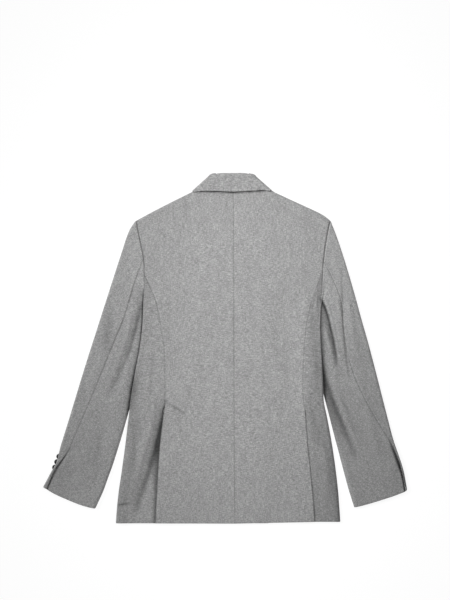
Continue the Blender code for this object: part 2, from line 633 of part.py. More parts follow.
# ---------------------------------------------------------------- collar
def collar_fall():
    """The fall: across the neck, round both slants and down to the gorge seams."""
    widths = np.array([0, .25, .5, .75, 1.0])
    leaf = {side: np.array(SLANT[side][0], float) for side in (LEFT, RIGHT)}
    fold = {side: np.array(SLANT[side][1], float) for side in (LEFT, RIGHT)}
    up = np.array([0.0, 0.0, 1.0])

    def slant(side):
        run = unit(fold[side] - leaf[side])
        out = np.array([-run[1], run[0]]) * (1 if side == LEFT else -1)
        return run, out

    def inset_line(side):
        """Plan points on the slant, moved in to where the turn under begins."""
        run, out = slant(side)
        points = leaf[side] + (fold[side] - leaf[side]) * widths[:, None]
        points[-1] -= run * (COLLAR_ROLL + CLOTH / 2)
        radius = (COLLAR_Z + COLLAR_RISE * widths - FLOOR_Z) / 2
        return points - out * (radius + CLOTH / 2)[:, None], radius, run, out

    stations, normals, across = [], [], []

    def add(plan, z, normal, roll_way):
        stations.append(np.concatenate([plan, np.broadcast_to(z, len(plan))[:, None]], -1))
        normals.append(normal)
        across.append(roll_way)

    def underside(side, fractions):
        start, _, run, _ = inset_line(side)
        gorge = np.array(GORGE[side], float)
        end = gorge[0] + (gorge[1] - gorge[0]) * widths[:, None]
        end[-1, 0] += side * (COLLAR_ROLL + CLOTH / 2)
        for f in fractions:
            way = unit(run * (1 - ease(f / 0.5)) + np.array([-side, 0.0]) * ease(f / 0.5))
            add(start + (end - start) * f, FLOOR_Z, -up, np.array([*way, 0.0]))

    def wrap(side, angles):
        start, radius, run, out = inset_line(side)
        for angle in angles:
            plan = start + out * (radius * np.sin(angle))[:, None]
            normal = np.array([*(out * np.sin(angle)), np.cos(angle)])
            add(plan, FLOOR_Z + radius * (1 + np.cos(angle)), normal, np.array([*run, 0.0]))

    turns = np.linspace(0, np.pi, 7)
    underside(LEFT, (1, .66, .33))
    wrap(LEFT, turns[::-1])
    start_l, _, run_l, _ = inset_line(LEFT)
    start_r, _, run_r, _ = inset_line(RIGHT)
    for f in np.linspace(0, 1, 12)[1:-1]:
        low = smooth_path(LEAF_EDGE, f)
        high = smooth_path(FOLD_EDGE, f) - (0, COLLAR_ROLL + CLOTH / 2)
        plan = low + (high - low) * widths[:, None]
        sides = ((start_l - leaf[LEFT] - (fold[LEFT] - leaf[LEFT]) * widths[:, None])
                 * (1 - ease(f / 0.3))
                 + (start_r - leaf[RIGHT] - (fold[RIGHT] - leaf[RIGHT]) * widths[:, None])
                 * (1 - ease((1 - f) / 0.3)))
        plan = plan + sides * (1, 0.3)
        way = unit(run_l * (1 - ease(f / 0.15)) + run_r * (1 - ease((1 - f) / 0.15))
                   + np.array([0.0, 1.0]) * ease(min(f, 1 - f) / 0.15))
        add(plan, COLLAR_Z + COLLAR_RISE * widths, up, np.array([*way, 0.0]))
    wrap(RIGHT, turns)
    underside(RIGHT, (.33, .66, 1))

    grid = []
    for points, normal, way in zip(stations, normals, across):
        rim = points[-1]
        rolled = [rim + COLLAR_ROLL * (np.sin(a) * way + (np.cos(a) - 1) * normal)
                  for a in np.radians([45, 90, 135, 180])]
        back = rim - 2 * COLLAR_ROLL * normal - COLLAR_RETURN * way
        grid.append(np.concatenate([points, rolled, [back]]))
    return np.array(grid)


def neck_seam_y(x):
    """The back's neck seam."""
    start_x = centre_x(NECK_CENTRE_Y)
    total = 0.0
    for side in (LEFT, RIGHT):
        end_x, end_y = SHOULDER[side][0]
        share = np.clip((x - start_x) / (end_x - start_x), 0, None)
        total = total + (end_y - NECK_CENTRE_Y) * share**2
    return NECK_CENTRE_Y + total


def collar_stand():
    """The stand, under the fall from its hidden edge down to the back's neck seam."""
    top_y = FOLD_EDGE[2][1] - COLLAR_ROLL - CLOTH / 2 - COLLAR_RETURN - 2 * SEAM_GAP
    u, v = np.meshgrid(np.linspace(-1, 1, 13), np.linspace(0, 1, 4))
    top_half, seam_half = STAND_HALF
    half = top_half + (seam_half - top_half) * v
    seam_y = neck_seam_y(seam_half * u + STAND_X) + 2.5 * SEAM_GAP
    y = (top_y - 3 * u**4) + (seam_y - top_y + 3 * u**4) * v
    top_z = COLLAR_Z + COLLAR_RISE - 2 * COLLAR_ROLL
    z = top_z + (BACK_Z - top_z) * v
    return np.stack([half * u + STAND_X, y, z], -1)


# ---------------------------------------------------------------- sleeves
def sleeve_sections(side, v):
    """Plan points of the outer edge, hind seam and inner edge at the sections v."""
    table = np.array(SLEEVE[side], float)
    index = np.arange(len(table))
    column = [spline(list(zip(index, table[:, k])), v) for k in range(6)]
    return (np.stack(column[0:2], -1), np.stack(column[2:4], -1), np.stack(column[4:6], -1))


def sleeve_top_z(side, section, inner_share):
    """Height function of the sleeve's upper layer for one row of sections."""
    tuck = band(section, *TUCK_SECTIONS[side]) * (SLEEVE_Z - TUCKED_Z)

    def height(x, y, share):
        base = SLEEVE_Z - tuck * ease((share - 0.68) / 0.2)
        joined = 1 - ease(section / 0.9)
        base = base + (BACK_Z - base) * joined + CUFF_SPARE * cuff_raise(side, x, y)
        return np.maximum(base + fold_z(x, y), LOWEST_UPPER_Z)

    return lambda x, y: height(x, y, inner_share(x, y))


def cuff_raise(side, x, y):
    """1 over the row of cuff buttons, fading to 0 around it."""
    first, run = CUFF_BUTTON_FIRST[side], CUFF_BUTTON_RUN[side]
    at = (x - first[0]) * run[0] + (y - first[1]) * run[1]
    beyond = at - np.clip(at, 0, CUFF_BUTTON_PITCH * (CUFF_BUTTONS - 1))
    beside = (x - first[0]) * run[1] - (y - first[1]) * run[0]
    flat, fade = CUFF_RAISE
    return 1 - ease((np.hypot(beyond, beside) - flat) / fade)


def hem_bow(side, section, outer, inner, plan):
    """Bow of the sleeve hem, spread over the last sections."""
    span = inner - outer
    share = np.clip(np.sum((plan - outer) * span, -1) / np.sum(span * span, -1), 0, 1)
    down = np.stack([span[:, 1], -span[:, 0]], -1)
    down = unit(np.where(down[:, 1:2] > 0, -down, down))
    amount = HEM_BOW[side] * (1 - np.abs(2 * share - 1)**3) * ease((section - 10.6) / 1.4)
    return plan + down * amount[:, None]


def sleeve_parts(side, under):
    """Grid of the top sleeve (under=False) or of the under sleeve (under=True)."""
    section = SLEEVE_ROWS
    outer, seam, inner = sleeve_sections(side, section)
    inset = np.where(section > 0, CLOTH / 2, 0)[:, None]

    def normal_of(path):
        tangent = unit(np.gradient(path, axis=0))
        return np.stack([tangent[:, 1], -tangent[:, 0]], -1)

    def toward(path, other):
        normal = normal_of(path)
        sign = np.sign(np.sum(normal * (other - path), -1, keepdims=True))
        return normal * sign

    outer_fold = outer + toward(outer, seam) * inset
    inner_fold = inner + toward(inner, seam) * inset
    slit = ease((section - CUFF_SECTION) / 1.5) * (CUFF_SLIT[side] - SEAM_GAP) + SEAM_GAP
    across = unit(inner - seam)
    foreseam = inner_fold - unit(inner_fold - outer_fold) * (
        FORESEAM * (0.5 + 0.5 * ease(section / 2)))[:, None]

    span = inner - outer
    length2 = np.sum(span * span, -1)

    def share(x, y):
        return ((x - outer[:, 0]) * span[:, 0] + (y - outer[:, 1]) * span[:, 1]) / length2

    high = sleeve_top_z(side, section, share)

    def low(x, y):
        return FLOOR_Z + (CUFF_BUTTON_THICK + LAYER_GAP) * cuff_raise(side, x, y)

    def start_x(y):
        return armhole_x(side, y) + side * SEAM_GAP

    if under:
        edge = seam + across * slit[:, None]
        lower = foreseam + unit(inner_fold - outer_fold) * SEAM_GAP
        grid = fold_round(edge, inner_fold, lower, unit(inner_fold - edge), high, low,
                          (8, 6, 3), start_x)
    else:
        edge = seam - across * slit[:, None]
        lower = foreseam - unit(inner_fold - outer_fold) * SEAM_GAP
        grid = fold_round(edge, outer_fold, lower, unit(outer_fold - edge), high, low,
                          (5, 6, 6), start_x)
    for j in range(grid.shape[1]):
        grid[:, j, :2] = hem_bow(side, section, outer, inner, grid[:, j, :2])
    return grid


# ---------------------------------------------------------------- buttons
def add_button(name, centre, radius, thick, count, material):
    """Round button lying face down: a rimmed disc with a slightly sunk face."""
    profile = ((0, 0.28), (0.62, 0.28), (0.76, 0.0), (0.92, 0.0), (1.0, 0.3), (1.0, 0.75),
               (0.86, 1.0), (0, 1.0))                    # columns: share of radius, of height
    vertices, faces = [], []
    turn = np.linspace(0, 2 * np.pi, count, endpoint=False)
    for share, level in profile[1:-1]:
        for a in turn:
            vertices.append((centre[0] + radius * share * np.cos(a),
                             centre[1] + radius * share * np.sin(a), thick * level))
    rings = len(profile) - 2
    for ring in range(rings - 1):
        for k in range(count):
            a, b = ring * count + k, ring * count + (k + 1) % count
            faces.append((a, b, b + count, a + count))
    faces.append(tuple(range(count - 1, -1, -1)))
    faces.append(tuple(range((rings - 1) * count, rings * count)))
    return add_object(name, np.array(vertices) * MM, faces, material)


# ---------------------------------------------------------------- assembly
def make_material(name, colour, roughness):
    material = bpy.data.materials.new(name)
    material.use_nodes = True
    shader = material.node_tree.nodes["Principled BSDF"]
    shader.inputs["Base Color"].default_value = colour
    shader.inputs["Roughness"].default_value = roughness
    shader.inputs["Metallic"].default_value = 0.0
    material.diffuse_color = colour
    return material


def cloth_material(name):
    return make_material(f"{name}_cloth", GREY_CLOTH, 0.95)


def main():
    for obj in list(bpy.data.objects):
        bpy.data.objects.remove(obj)

    along_x = (1, 0, 0)
    for side in (LEFT, RIGHT):
        word = SIDE_NAME[side]
        pieces = (
            (f"back_{word}", back_panel(side), None),
            (f"side_{word}", side_panel(side), along_x),
            (f"front_{word}", front_panel(side), None),
            (f"lapel_{word}", lapel_panel(side), None),
            (f"sleeve_top_{word}", sleeve_parts(side, False), along_x),
            (f"sleeve_under_{word}", sleeve_parts(side, True), along_x),
        )
        for name, grid, flat_start in pieces:
            add_cloth(name, grid, cloth_material(name), flat_start)
    add_cloth("collar_fall", collar_fall(), cloth_material("collar_fall"))
    add_cloth("collar_stand", collar_stand(), cloth_material("collar_stand"))

    for side in (LEFT, RIGHT):
        for number, row in enumerate(BUTTON_ROWS_Y, start=1):
            name = f"front_button_{SIDE_NAME[side]}_{number}"
            add_button(name, (side * BUTTON_COLUMN_X, row), BUTTON_RADIUS, BUTTON_THICK, 16,
                       make_material(f"{name}_plastic", DARK_BUTTON, 0.35))
        first, run = CUFF_BUTTON_FIRST[side], CUFF_BUTTON_RUN[side]
        for number in range(CUFF_BUTTONS):
            name = f"cuff_button_{SIDE_NAME[side]}_{number + 1}"
            centre = [first[k] + run[k] * CUFF_BUTTON_PITCH * number for k in (0, 1)]
            add_button(name, centre, CUFF_BUTTON_RADIUS, CUFF_BUTTON_THICK, 12,
                       make_material(f"{name}_plastic", DARK_BUTTON, 0.35))


main()
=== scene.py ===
"""Grey wool flannel blazer laid flat, back up: fine cloth, seams, buttons, floor, light, camera.

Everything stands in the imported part's frame: +X to the wearer's right, +Y to the neck, +Z up out
of the back. Tables and sizes are in millimetres; meshes are made in metres. Each cloth piece
repeats the part's middle surface, made fine, with seams pressed in and soft creases laid on it.
"""
from functools import partial

import bmesh
import bpy
import numpy as np
from bpy.props import FloatProperty, FloatVectorProperty, IntProperty, PointerProperty
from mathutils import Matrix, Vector


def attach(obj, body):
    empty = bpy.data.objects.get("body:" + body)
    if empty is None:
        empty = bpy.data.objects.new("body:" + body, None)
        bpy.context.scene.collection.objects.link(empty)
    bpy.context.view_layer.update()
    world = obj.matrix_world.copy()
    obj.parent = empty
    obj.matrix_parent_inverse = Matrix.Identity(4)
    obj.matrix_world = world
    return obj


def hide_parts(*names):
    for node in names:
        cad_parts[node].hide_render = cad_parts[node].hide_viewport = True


bl_info = {
    "name": "Laid flannel blazer",
    "version": (1, 0, 0),
    "blender": (4, 5, 0),
    "location": "View3D > Sidebar > Blazer",
    "description": "Builds the cloth, seams, buttons and studio of a blazer that lies back up",
    "category": "Object",
}

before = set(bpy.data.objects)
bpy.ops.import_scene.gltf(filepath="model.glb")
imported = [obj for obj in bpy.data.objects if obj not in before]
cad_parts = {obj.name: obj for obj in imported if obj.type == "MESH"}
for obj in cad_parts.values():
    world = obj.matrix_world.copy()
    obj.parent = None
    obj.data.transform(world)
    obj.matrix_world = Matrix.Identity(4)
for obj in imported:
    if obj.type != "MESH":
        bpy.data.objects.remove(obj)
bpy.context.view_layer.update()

MM = 0.001
LEFT, RIGHT = -1, 1
SIDE_NAME = {LEFT: "left", RIGHT: "right"}

# ---------------------------------------------------------------- sizes of the cut
# These repeat the part's, apart from the seam gap and the place of the collar's slants.
CLOTH = 1.4            # flannel with its fusible backing
SEAM_GAP = 0.15        # each piece stops this far short of a seam line
LAYER_GAP = 0.3        # air between cloths that lie on each other
STEP = CLOTH + LAYER_GAP
FRONT_STEP = CLOTH + 1.4   # one front over the other
FLOOR_Z = CLOTH / 2    # middle of a cloth that lies on the resting plane
BACK_Z = 5.9           # middle of the back over the fronts
SLEEVE_Z = 5.5         # middle of a sleeve's upper layer
TUCKED_Z = 4.0         # the same where the body lies on the sleeve
LOWEST_UPPER_Z = 2.6   # an upper layer's troughs stop here, clear of the cloth below
CLOSURE_RISE = 1.5     # the back is higher over the doubled fronts and their buttons
CLOSURE_HALF = (62.0, 60.0)                        # half width at full height, fade
CLOSURE_SPAN = (-320.0, -225.0, 175.0, 275.0)      # heights y of its start, full, hold, end
BODY_LIFT = 5.4        # how far a side fold is raised by the sleeve under it
FOLD_RADIUS = 1.6      # middle radius of a raised side fold
HEM_Y = {LEFT: -370.6, RIGHT: -367.6}                  # at the side panels
HEM_CENTRE_Y = -371.2
CENTRE_SEAM = ((341, -3), (295, -1), (0, 0), (-369, 2))       # columns y, x

# Columns y, x: silhouette of the body, back seam of the side panel, armhole seam.
EDGE = {
    LEFT: ((128, -190), (102, -192), (50, -194), (0, -200), (-54, -210), (-110, -219),
           (-140, -222.5), (-210, -231.2), (-267, -239), (-315, -246), (-368, -250.5)),
    RIGHT: ((104, 186), (80, 184), (47, 183), (0, 185), (-50, 187.5), (-100, 189.5), (-117, 190.6),
            (-144, 196.5), (-181, 203.7), (-237, 212.7), (-301, 220.4), (-368, 225.3)),
}
SIDE_SEAM = {
    LEFT: ((156, -189.9), (136, -181), (115, -171), (92, -163), (61, -157.5), (32, -152),
           (-12, -146.5), (-75, -145.5), (-110, -145.5), (-145, -149.5), (-190, -155),
           (-311, -163), (-368, -166)),
    RIGHT: ((164, 187.9), (138, 179), (117, 171), (94, 164), (60, 155.5), (-35, 147.5),
            (-88, 146), (-129, 149.5), (-198, 154.5), (-250, 160), (-311, 166), (-368, 170)),
}
ARMHOLE = {
    LEFT: ((270, -207), (249, -203.5), (229, -199.5), (208, -195), (190, -192), (164, -190.2),
           (128, -190)),
    RIGHT: ((270, 204), (260, 201.2), (240, 198), (222, 194.5), (191, 190.5), (164, 187.9),
            (130, 186.3), (104, 186)),
}
# Columns x, y: from the neck point along the shoulder to the sleeve head.
SHOULDER = {
    LEFT: ((-74, 336), (-84, 332.8), (-92, 329), (-114, 318.3), (-126, 312.4), (-177, 286.4),
           (-207, 270)),
    RIGHT: ((74, 334.2), (80, 331.8), (88, 328.8), (119, 314.6), (163, 294.5), (190, 281),
            (204, 270)),
}
NECK_CENTRE_Y = 341.0
SHOULDER_TIP_Y = 270.0
BACK_NECK_SHARE, FRONT_NECK_SHARE = 0.34, 0.1       # of the columns in a panel's top edge
FRONT_SEAM_IN, FRONT_SEAM_RUN = 46.0, 90.0          # front seam in from the side fold; its start

# Vents: where each opens, how far the side panel reaches under the back, how the cloths part.
VENT_TOP_Y = {LEFT: -112.0, RIGHT: -118.0}
VENT_RAMP = 30.0                    # how far down it takes the cloths to part
VENT_START, VENT_FADE = 4, 40       # they start to part this far above the top; fade sideways
UNDERLAP, UNDERLAP_RUN = 34.0, 16   # width; how far down it takes to reach that
VENT_PART = 1.05                    # half the height by which they part

# Sleeve sections from the armhole to the hem; columns: outer x, y; hind seam x, y; inner x, y.
SLEEVE = {
    LEFT: ((-208.4, 270.2, -191.7, 189, -190, 128),
           (-223.2, 246, -200, 167, -191.4, 113),
           (-239.2, 198.7, -212, 134, -188, 91),
           (-258.2, 140.7, -223, 96, -181, 62),
           (-276.2, 84.6, -236, 56, -178, 35),
           (-296.5, 21.3, -256, 9, -186, -13),
           (-321.7, -57.7, -287, -69, -212, -94),
           (-341.9, -125, -314, -134, -230.1, -161.7),
           (-358.7, -179.4, -338, -188, -247.4, -218.2),
           (-368.1, -210.1, -350, -218, -256.2, -246.3),
           (-375.2, -239, -366, -240, -268.6, -280.4),
           (-386.6, -260.6, -379.5, -260, -277.4, -304.4),
           (-404.6, -294, -395, -297, -293.6, -339.6)),
    RIGHT: ((204, 269.9, 190, 183, 186, 104),
            (217.1, 237.5, 202, 161, 185.4, 89),
            (234.8, 184.4, 214, 134, 179, 66),
            (253.6, 121.3, 227, 99, 172, 38),
            (269.1, 64.9, 231, 55, 167, 16),
            (287.6, -0.5, 241, -12, 171, -33),
            (305.1, -68.2, 263.5, -79, 190, -99),
            (321.9, -134, 296, -141, 206.1, -164.7),
            (333.8, -180.1, 322, -183, 218.9, -212.1),
            (339.6, -200.3, 333, -202, 224.5, -234.2),
            (351.4, -234.3, 345.5, -232, 233.3, -267.1),
            (359.9, -262, 354.5, -261, 241.7, -298),
            (366.8, -299.4, 361.8, -303, 254, -337.2)),
}
SLEEVE_ROWS = np.array([0, .35, .8, 1.3, 1.9, 2.6, 3.3, 4, 4.8, 5.7, 6.6, 7.5, 8.3, 9, 9.5, 10,
                        10.5, 11, 11.6, 12])
HEM_BOW = {LEFT: 5.6, RIGHT: 2.6}      # how far the sleeve hem bows out below a straight line
CUFF_SECTION = 9                       # section at the top of the cuff slit
CUFF_SLIT = {LEFT: 1.6, RIGHT: 1.9}    # half the slit's width at the hem
SLIT_OPENS = 1.5                       # sections over which it reaches that
FORESEAM = 30.0                        # forearm seam to the inner fold, on the underside
TUCK_SECTIONS = {LEFT: (0.2, 1.2, 6.4, 7.6), RIGHT: (0.2, 1.2, 5.6, 6.6)}
TUCK_SHARE = (0.68, 0.2)       # share of the width from which it lies under the body; fade
ARMHOLE_JOIN = 0.9             # sections over which it leaves the back's height
BOW_SECTIONS = (10.6, 1.4)     # sections over which the hem's bow sets in

# The body's side folds rise over the tucked sleeves between these heights y.
LIFT_SPAN = {LEFT: (128.0, 106.0, -150.0, -205.0), RIGHT: (104.0, 84.0, -112.0, -175.0)}
LIFT_FLAT = {LEFT: 24.0, RIGHT: 28.0}      # width at full lift, in from the side fold
LIFT_FADE = 48.0                           # and the fade beyond it

# Fronts, finished plainly on the underside.
FRONT_EDGE_X = 72.0
BREAK_Y = 12.0                                      # lower end of the roll line
ROLL_TOP = (50.0, 338.0)                            # its upper end
NECK_FRONT = (56.0, 312.0)                          # inner end of a front's neck seam
ROLL_RADIUS = STEP / 2
ROLL_BOW = 0.8                                      # bow of the roll line to the opening
# Columns y, x: the rim of the folded-out layers (lapel, then collar), as |x|.
FOLDED_RIM = ((12, -62), (60, 8), (120, 64), (200, 108), (250, 128), (285, 137), (300, 130),
              (315, 112), (332, 100), (345, 96), (371, 92))
FOLDED_MARGIN, FOLDED_FADE = 24.0, 30.0             # the cloth over them is raised as far out
FOLDED_BELOW, FOLDED_RAMP = 34, 26                  # and from this far below the break; ramp
LAP_MARGIN, LAP_FADE = 6, 26                        # the inner front drops beyond the outer one
LAPEL_TOP = ((44, 315), (92, 288), (137, 293))      # gorge at the roll, notch, peak
LAPEL_RIM = ((137, 293), (132, 272), (120, 238), (104, 200), (56, 120), (-3, 60), (-62, 14))
LEFT_LAPEL_END = ((-3, 212), (-50, 82))             # where the left lapel meets the right one
LAPEL_LIFT = 0.08                                   # its rim lies this much above the plane

BUTTON_COLUMN_X = 52.0
BUTTON_ROWS_Y = (-8.0, -100.0, -192.0)
BUTTON_RADIUS, BUTTON_THICK = 11.0, 2.0
BUTTON_STRIP = (22.0, 14.0, 44.0)   # raised strip: flat half width, fade, run past the buttons
CUFF_BUTTON_RADIUS, CUFF_BUTTON_THICK = 6.0, 1.9
CUFF_BUTTON_PITCH = 12.4
CUFF_BUTTON_FIRST = {LEFT: (-370.6, -230.0), RIGHT: (330.0, -214.0)}
CUFF_BUTTON_RUN = {LEFT: (-0.36, -0.933), RIGHT: (0.3, -0.954)}
CUFF_BUTTONS = 3
CUFF_RAISE = (13.0, 20.0)                           # raised cloth round them: flat, fade
CUFF_SPARE = 0.8                                    # rise of the upper layer over them

# Collar. Columns x, y along the leaf edge; the slants are its folded ends.
LEAF_EDGE = ((-88.5, 333.2), (-70, 332.5), (-40, 332), (-3, 330.3), (27, 331.7), (49, 333),
             (66, 335), (79.5, 334.8))
FOLD_EDGE = ((-47.5, 370), (-42, 370.7), (-20, 370.7), (18, 370.9), (34, 370.4), (40, 369.5))
SLANT = {LEFT: ((-88.5, 333.2), (-47.5, 370)), RIGHT: ((79.5, 334.8), (40, 369.5))}
GORGE = {LEFT: ((-91, 291), (-44, 317.5)), RIGHT: ((91, 291), (44, 317.5))}
COLLAR_Z, COLLAR_RISE = 7.9, 0.7
COLLAR_ROLL, COLLAR_RETURN = 1.0, 7.0
# Shares of the leaf's run over which a slant's inset and the roll's direction fade out; how much
# of the inset goes down; share of the way to the gorge over which the roll turns level.
SLANT_FADE, WAY_FADE, SLANT_DROP, GORGE_TURN = 0.3, 0.15, 0.3, 0.5
CORNER_REACH = 5.6      # how far the fall's upper corners run on along the slant
STAND_HALF, STAND_X = (44.0, 64.0), -2.0            # half widths at its top and neck seam; middle

# Soft folds of the upper layer; columns: x0, y0, x1, y1, half width, height (+ridge, -trough).
FOLDS = (
    (-150, -122, -176, -238, 16, -1.5),    # trough on the left side panel, from the vent
    (-176, -238, -206, -345, 20, -1.3),
    (-142, -112, -106, -138, 7, -0.7),     # drag line at the left vent's top
    (-139, -122, -104, -148, 9, 0.6),
    (-214, -150, -212, -310, 12, 0.8),
    (62, -261, 94, -224, 12, -0.6),
    (168, -122, 205, -262, 15, -1.3),      # fall of the right side panel
    (196, -222, 208, -340, 14, 0.9),
    (-200, 92, -219, 4, 13, -1.8),         # troughs of the left sleeve
    (-219, 4, -256, -92, 15, -1.4),
    (-263, 80, -266, 5, 15, -1.1),
    (-228, 60, -250, -20, 14, 0.9),
    (-214, -70, -226, -135, 9, -1.2),
    (-300, -110, -330, -210, 16, 0.6),
    (188, 104, 204, 60, 10, -2.2),         # troughs of the right sleeve
    (204, 60, 222, -36, 12, -2.6),
    (222, -36, 240, -90, 15, -1.2),
    (226, 96, 231, 20, 9, -1.0),
    (214, 84, 222, 30, 9, 0.9),
    (193, -30, 214, -122, 12, -1.4),
    (206, -90, 240, -182, 11, 0.9),
    (262, 40, 300, -120, 22, 0.7),
)


# ---------------------------------------------------------------- curves
def hermite(s, step, start, start_slope, end, end_slope):
    """Smooth value at the share s of a step with these values and slopes at its ends."""
    return ((2 * s**3 - 3 * s**2 + 1) * start + (s**3 - 2 * s**2 + s) * step * start_slope
            + (3 * s**2 - 2 * s**3) * end + (s**3 - s**2) * step * end_slope)


def spline(rows, at):
    """Smooth value through the rows (t, value) that never overshoots them."""
    table = np.array(sorted(rows), float)
    t, value = table[:, 0], table[:, 1]
    step = np.diff(t)
    slope = np.diff(value) / step
    tangent = np.concatenate(([slope[0]], (slope[1:] + slope[:-1]) / 2, [slope[-1]]))
    for k in range(1, len(t) - 1):
        if slope[k - 1] * slope[k] <= 0:
            tangent[k] = 0.0
    for k, rise in enumerate(slope):
        limit = 3 * abs(rise)
        tangent[k] = np.clip(tangent[k], -limit, limit)
        tangent[k + 1] = np.clip(tangent[k + 1], -limit, limit)
    at = np.clip(np.asarray(at, float), t[0], t[-1])
    k = np.clip(np.searchsorted(t, at, side="right") - 1, 0, len(step) - 1)
    s = (at - t[k]) / step[k]
    return hermite(s, step[k], value[k], tangent[k], value[k + 1], tangent[k + 1])


def run_of(points):
    """Distance of each point of a polyline from its first, along the line."""
    return np.concatenate(([0], np.cumsum(np.hypot(*np.diff(points, axis=0).T))))


def along(points, at):
    """Point at the fraction `at` of the way along a polyline of (x, y) points."""
    points = np.array(points, float)
    run = run_of(points)
    run /= run[-1]
    return np.stack([np.interp(at, run, points[:, 0]), np.interp(at, run, points[:, 1])], -1)


def smooth_path(points, at, samples=24):
    """Like `along`, on a smooth curve through the points."""
    points = np.array(points, float)
    run = run_of(points)
    fine = np.linspace(0, run[-1], samples * len(points))
    x = spline(list(zip(run, points[:, 0])), fine)
    y = spline(list(zip(run, points[:, 1])), fine)
    return along(np.stack([x, y], -1), at)


def ease(value):
    """0 below 0, 1 above 1, smooth between."""
    value = np.clip(value, 0, 1)
    return value * value * (3 - 2 * value)


def fade_in(value, start, fade):
    """0 below start, 1 from start + fade on, smooth between."""
    return ease((value - start) / fade)


def band(value, start, full, hold, end):
    """0 outside start..end, 1 within full..hold, smooth between; the limits may fall."""
    return ease((value - start) / (full - start)) * ease((end - value) / (end - hold))


# ---------------------------------------------------------------- plan of the body
def armhole_x(side, y):
    """The armhole seam."""
    return spline(ARMHOLE[side], y)


def edge_x(side, y):
    """The body's side fold."""
    return spline(EDGE[side], y)


def seam_x(side, y):
    """Seam between the back and the side panel."""
    return spline(SIDE_SEAM[side], y)


def centre_x(y):
    """The back's centre seam."""
    return spline(CENTRE_SEAM, y)


def underarm_y(side):
    """Where the side fold starts."""
    return EDGE[side][0][0]


def seam_top_y(side):
    """Where the side seam meets the armhole."""
    return SIDE_SEAM[side][0][0]


# ---------------------------------------------------------------- heights
def lift(x, y):
    """How far the body's lowest cloth is raised by the sleeve tucked under it."""
    side_lift = 0.0
    for side in (LEFT, RIGHT):
        inward = (edge_x(side, y) - x) * side
        across = 1 - ease((inward - LIFT_FLAT[side]) / LIFT_FADE)
        side_lift = side_lift + BODY_LIFT * across * band(y, *LIFT_SPAN[side])
    return side_lift


def button_strip(x, y):
    """1 along each column of front buttons, fading to 0 around it."""
    flat, fade, past = BUTTON_STRIP
    beyond = np.maximum(y - BUTTON_ROWS_Y[0], BUTTON_ROWS_Y[-1] - y)
    beside = np.abs(np.abs(x) - BUTTON_COLUMN_X)
    return (1 - ease((beside - flat) / fade)) * (1 - ease((beyond - past) / (2 * fade)))


def folded_zone(side, x, y):
    """1 where a lapel or the collar lies folded out under this side's front."""
    out_by = x * side - spline(FOLDED_RIM, y)
    above = ease((y - BREAK_Y + FOLDED_BELOW) / FOLDED_RAMP)
    return (1 - ease((out_by - FOLDED_MARGIN) / FOLDED_FADE)) * above


def roll_x(side, y):
    """The roll line, which bows a little to the opening, and the free front edge below it."""
    (top_x, top_y), low_x = ROLL_TOP, -FRONT_EDGE_X
    share = (np.clip(y, BREAK_Y, top_y) - BREAK_Y) / (top_y - BREAK_Y)
    x = low_x + (top_x - low_x) * share - ROLL_BOW * 4 * share * (1 - share)
    return side * x


def right_front_z(x, y):
    """Middle of the outer front, which lies on what is folded out under it."""
    raised = np.maximum(STEP * folded_zone(RIGHT, x, y),
                        (BUTTON_THICK + LAYER_GAP) * button_strip(x, y))
    return FLOOR_Z + np.maximum(raised, lift(x, y))


def left_front_z(x, y):
    """Middle of the inner front, which lies over the outer one where they lap."""
    alone = FLOOR_Z + np.maximum(STEP * folded_zone(LEFT, x, y), lift(x, y))
    covered = 1 - ease((roll_x(RIGHT, y) - LAP_MARGIN - x) / LAP_FADE)
    return alone + (right_front_z(x, y) + FRONT_STEP - alone) * covered


def front_z(side):
    """Height function of this side's front."""
    return right_front_z if side == RIGHT else left_front_z


def fold_z(x, y):
    """Sum of the soft ridges and troughs."""
    total = 0.0
    for x0, y0, x1, y1, width, height in FOLDS:
        length = np.hypot(x1 - x0, y1 - y0)
        ux, uy = (x1 - x0) / length, (y1 - y0) / length
        run = (x - x0) * ux + (y - y0) * uy
        off = (x - x0) * uy - (y - y0) * ux
        ends = np.clip(np.maximum(-run, run - length), 0, None)
        total = total + height * np.exp(-(off / width)**2 - (ends / (1.6 * width))**2)
    return total


def body_top_z(x, y):
    """Middle of the back and of the side panels' upper layer."""
    side_top = 2 * FOLD_RADIUS + BODY_LIFT + FLOOR_Z - BACK_Z
    raised = lift(x, y)
    flat, fade = CLOSURE_HALF
    closure = CLOSURE_RISE * (1 - ease((np.abs(x) - flat) / fade)) * band(y, *CLOSURE_SPAN)
    relaxed = np.maximum(BACK_Z + closure + fold_z(x, y), LOWEST_UPPER_Z)
    return relaxed + side_top / BODY_LIFT * raised


def vent_part(side, x, y):
    """Half the height by which back and side panel part along the vent."""
    away = np.abs(x - seam_x(side, y))
    opened = ease((VENT_TOP_Y[side] + VENT_START - y) / VENT_RAMP)
    return VENT_PART * opened * (1 - ease((away - UNDERLAP) / VENT_FADE))


# ---------------------------------------------------------------- sheets
def unit(vectors):
    """The vectors at length 1."""
    return vectors / np.maximum(np.linalg.norm(vectors, axis=-1, keepdims=True), 1e-9)


def coons(left, right, top, bottom, u, v):
    """Plan points of a four-sided patch: left, right run with v; top (v=0), bottom run with u."""
    u2, v2 = u[..., None], v[..., None]
    corners = ((1 - u2) * (1 - v2) * top(0.0) + u2 * (1 - v2) * top(1.0)
               + (1 - u2) * v2 * bottom(0.0) + u2 * v2 * bottom(1.0))
    return ((1 - u2) * left(v) + u2 * right(v) + (1 - v2) * top(u) + v2 * bottom(u) - corners)


def straight_hem(inner, outer):
    """Plan points of a straight lower edge between the ends of two side edges."""
    start, end = inner(np.array(1.0)), outer(np.array(1.0))
    return lambda u: start + (end - start) * np.asarray(u, float)[..., None]


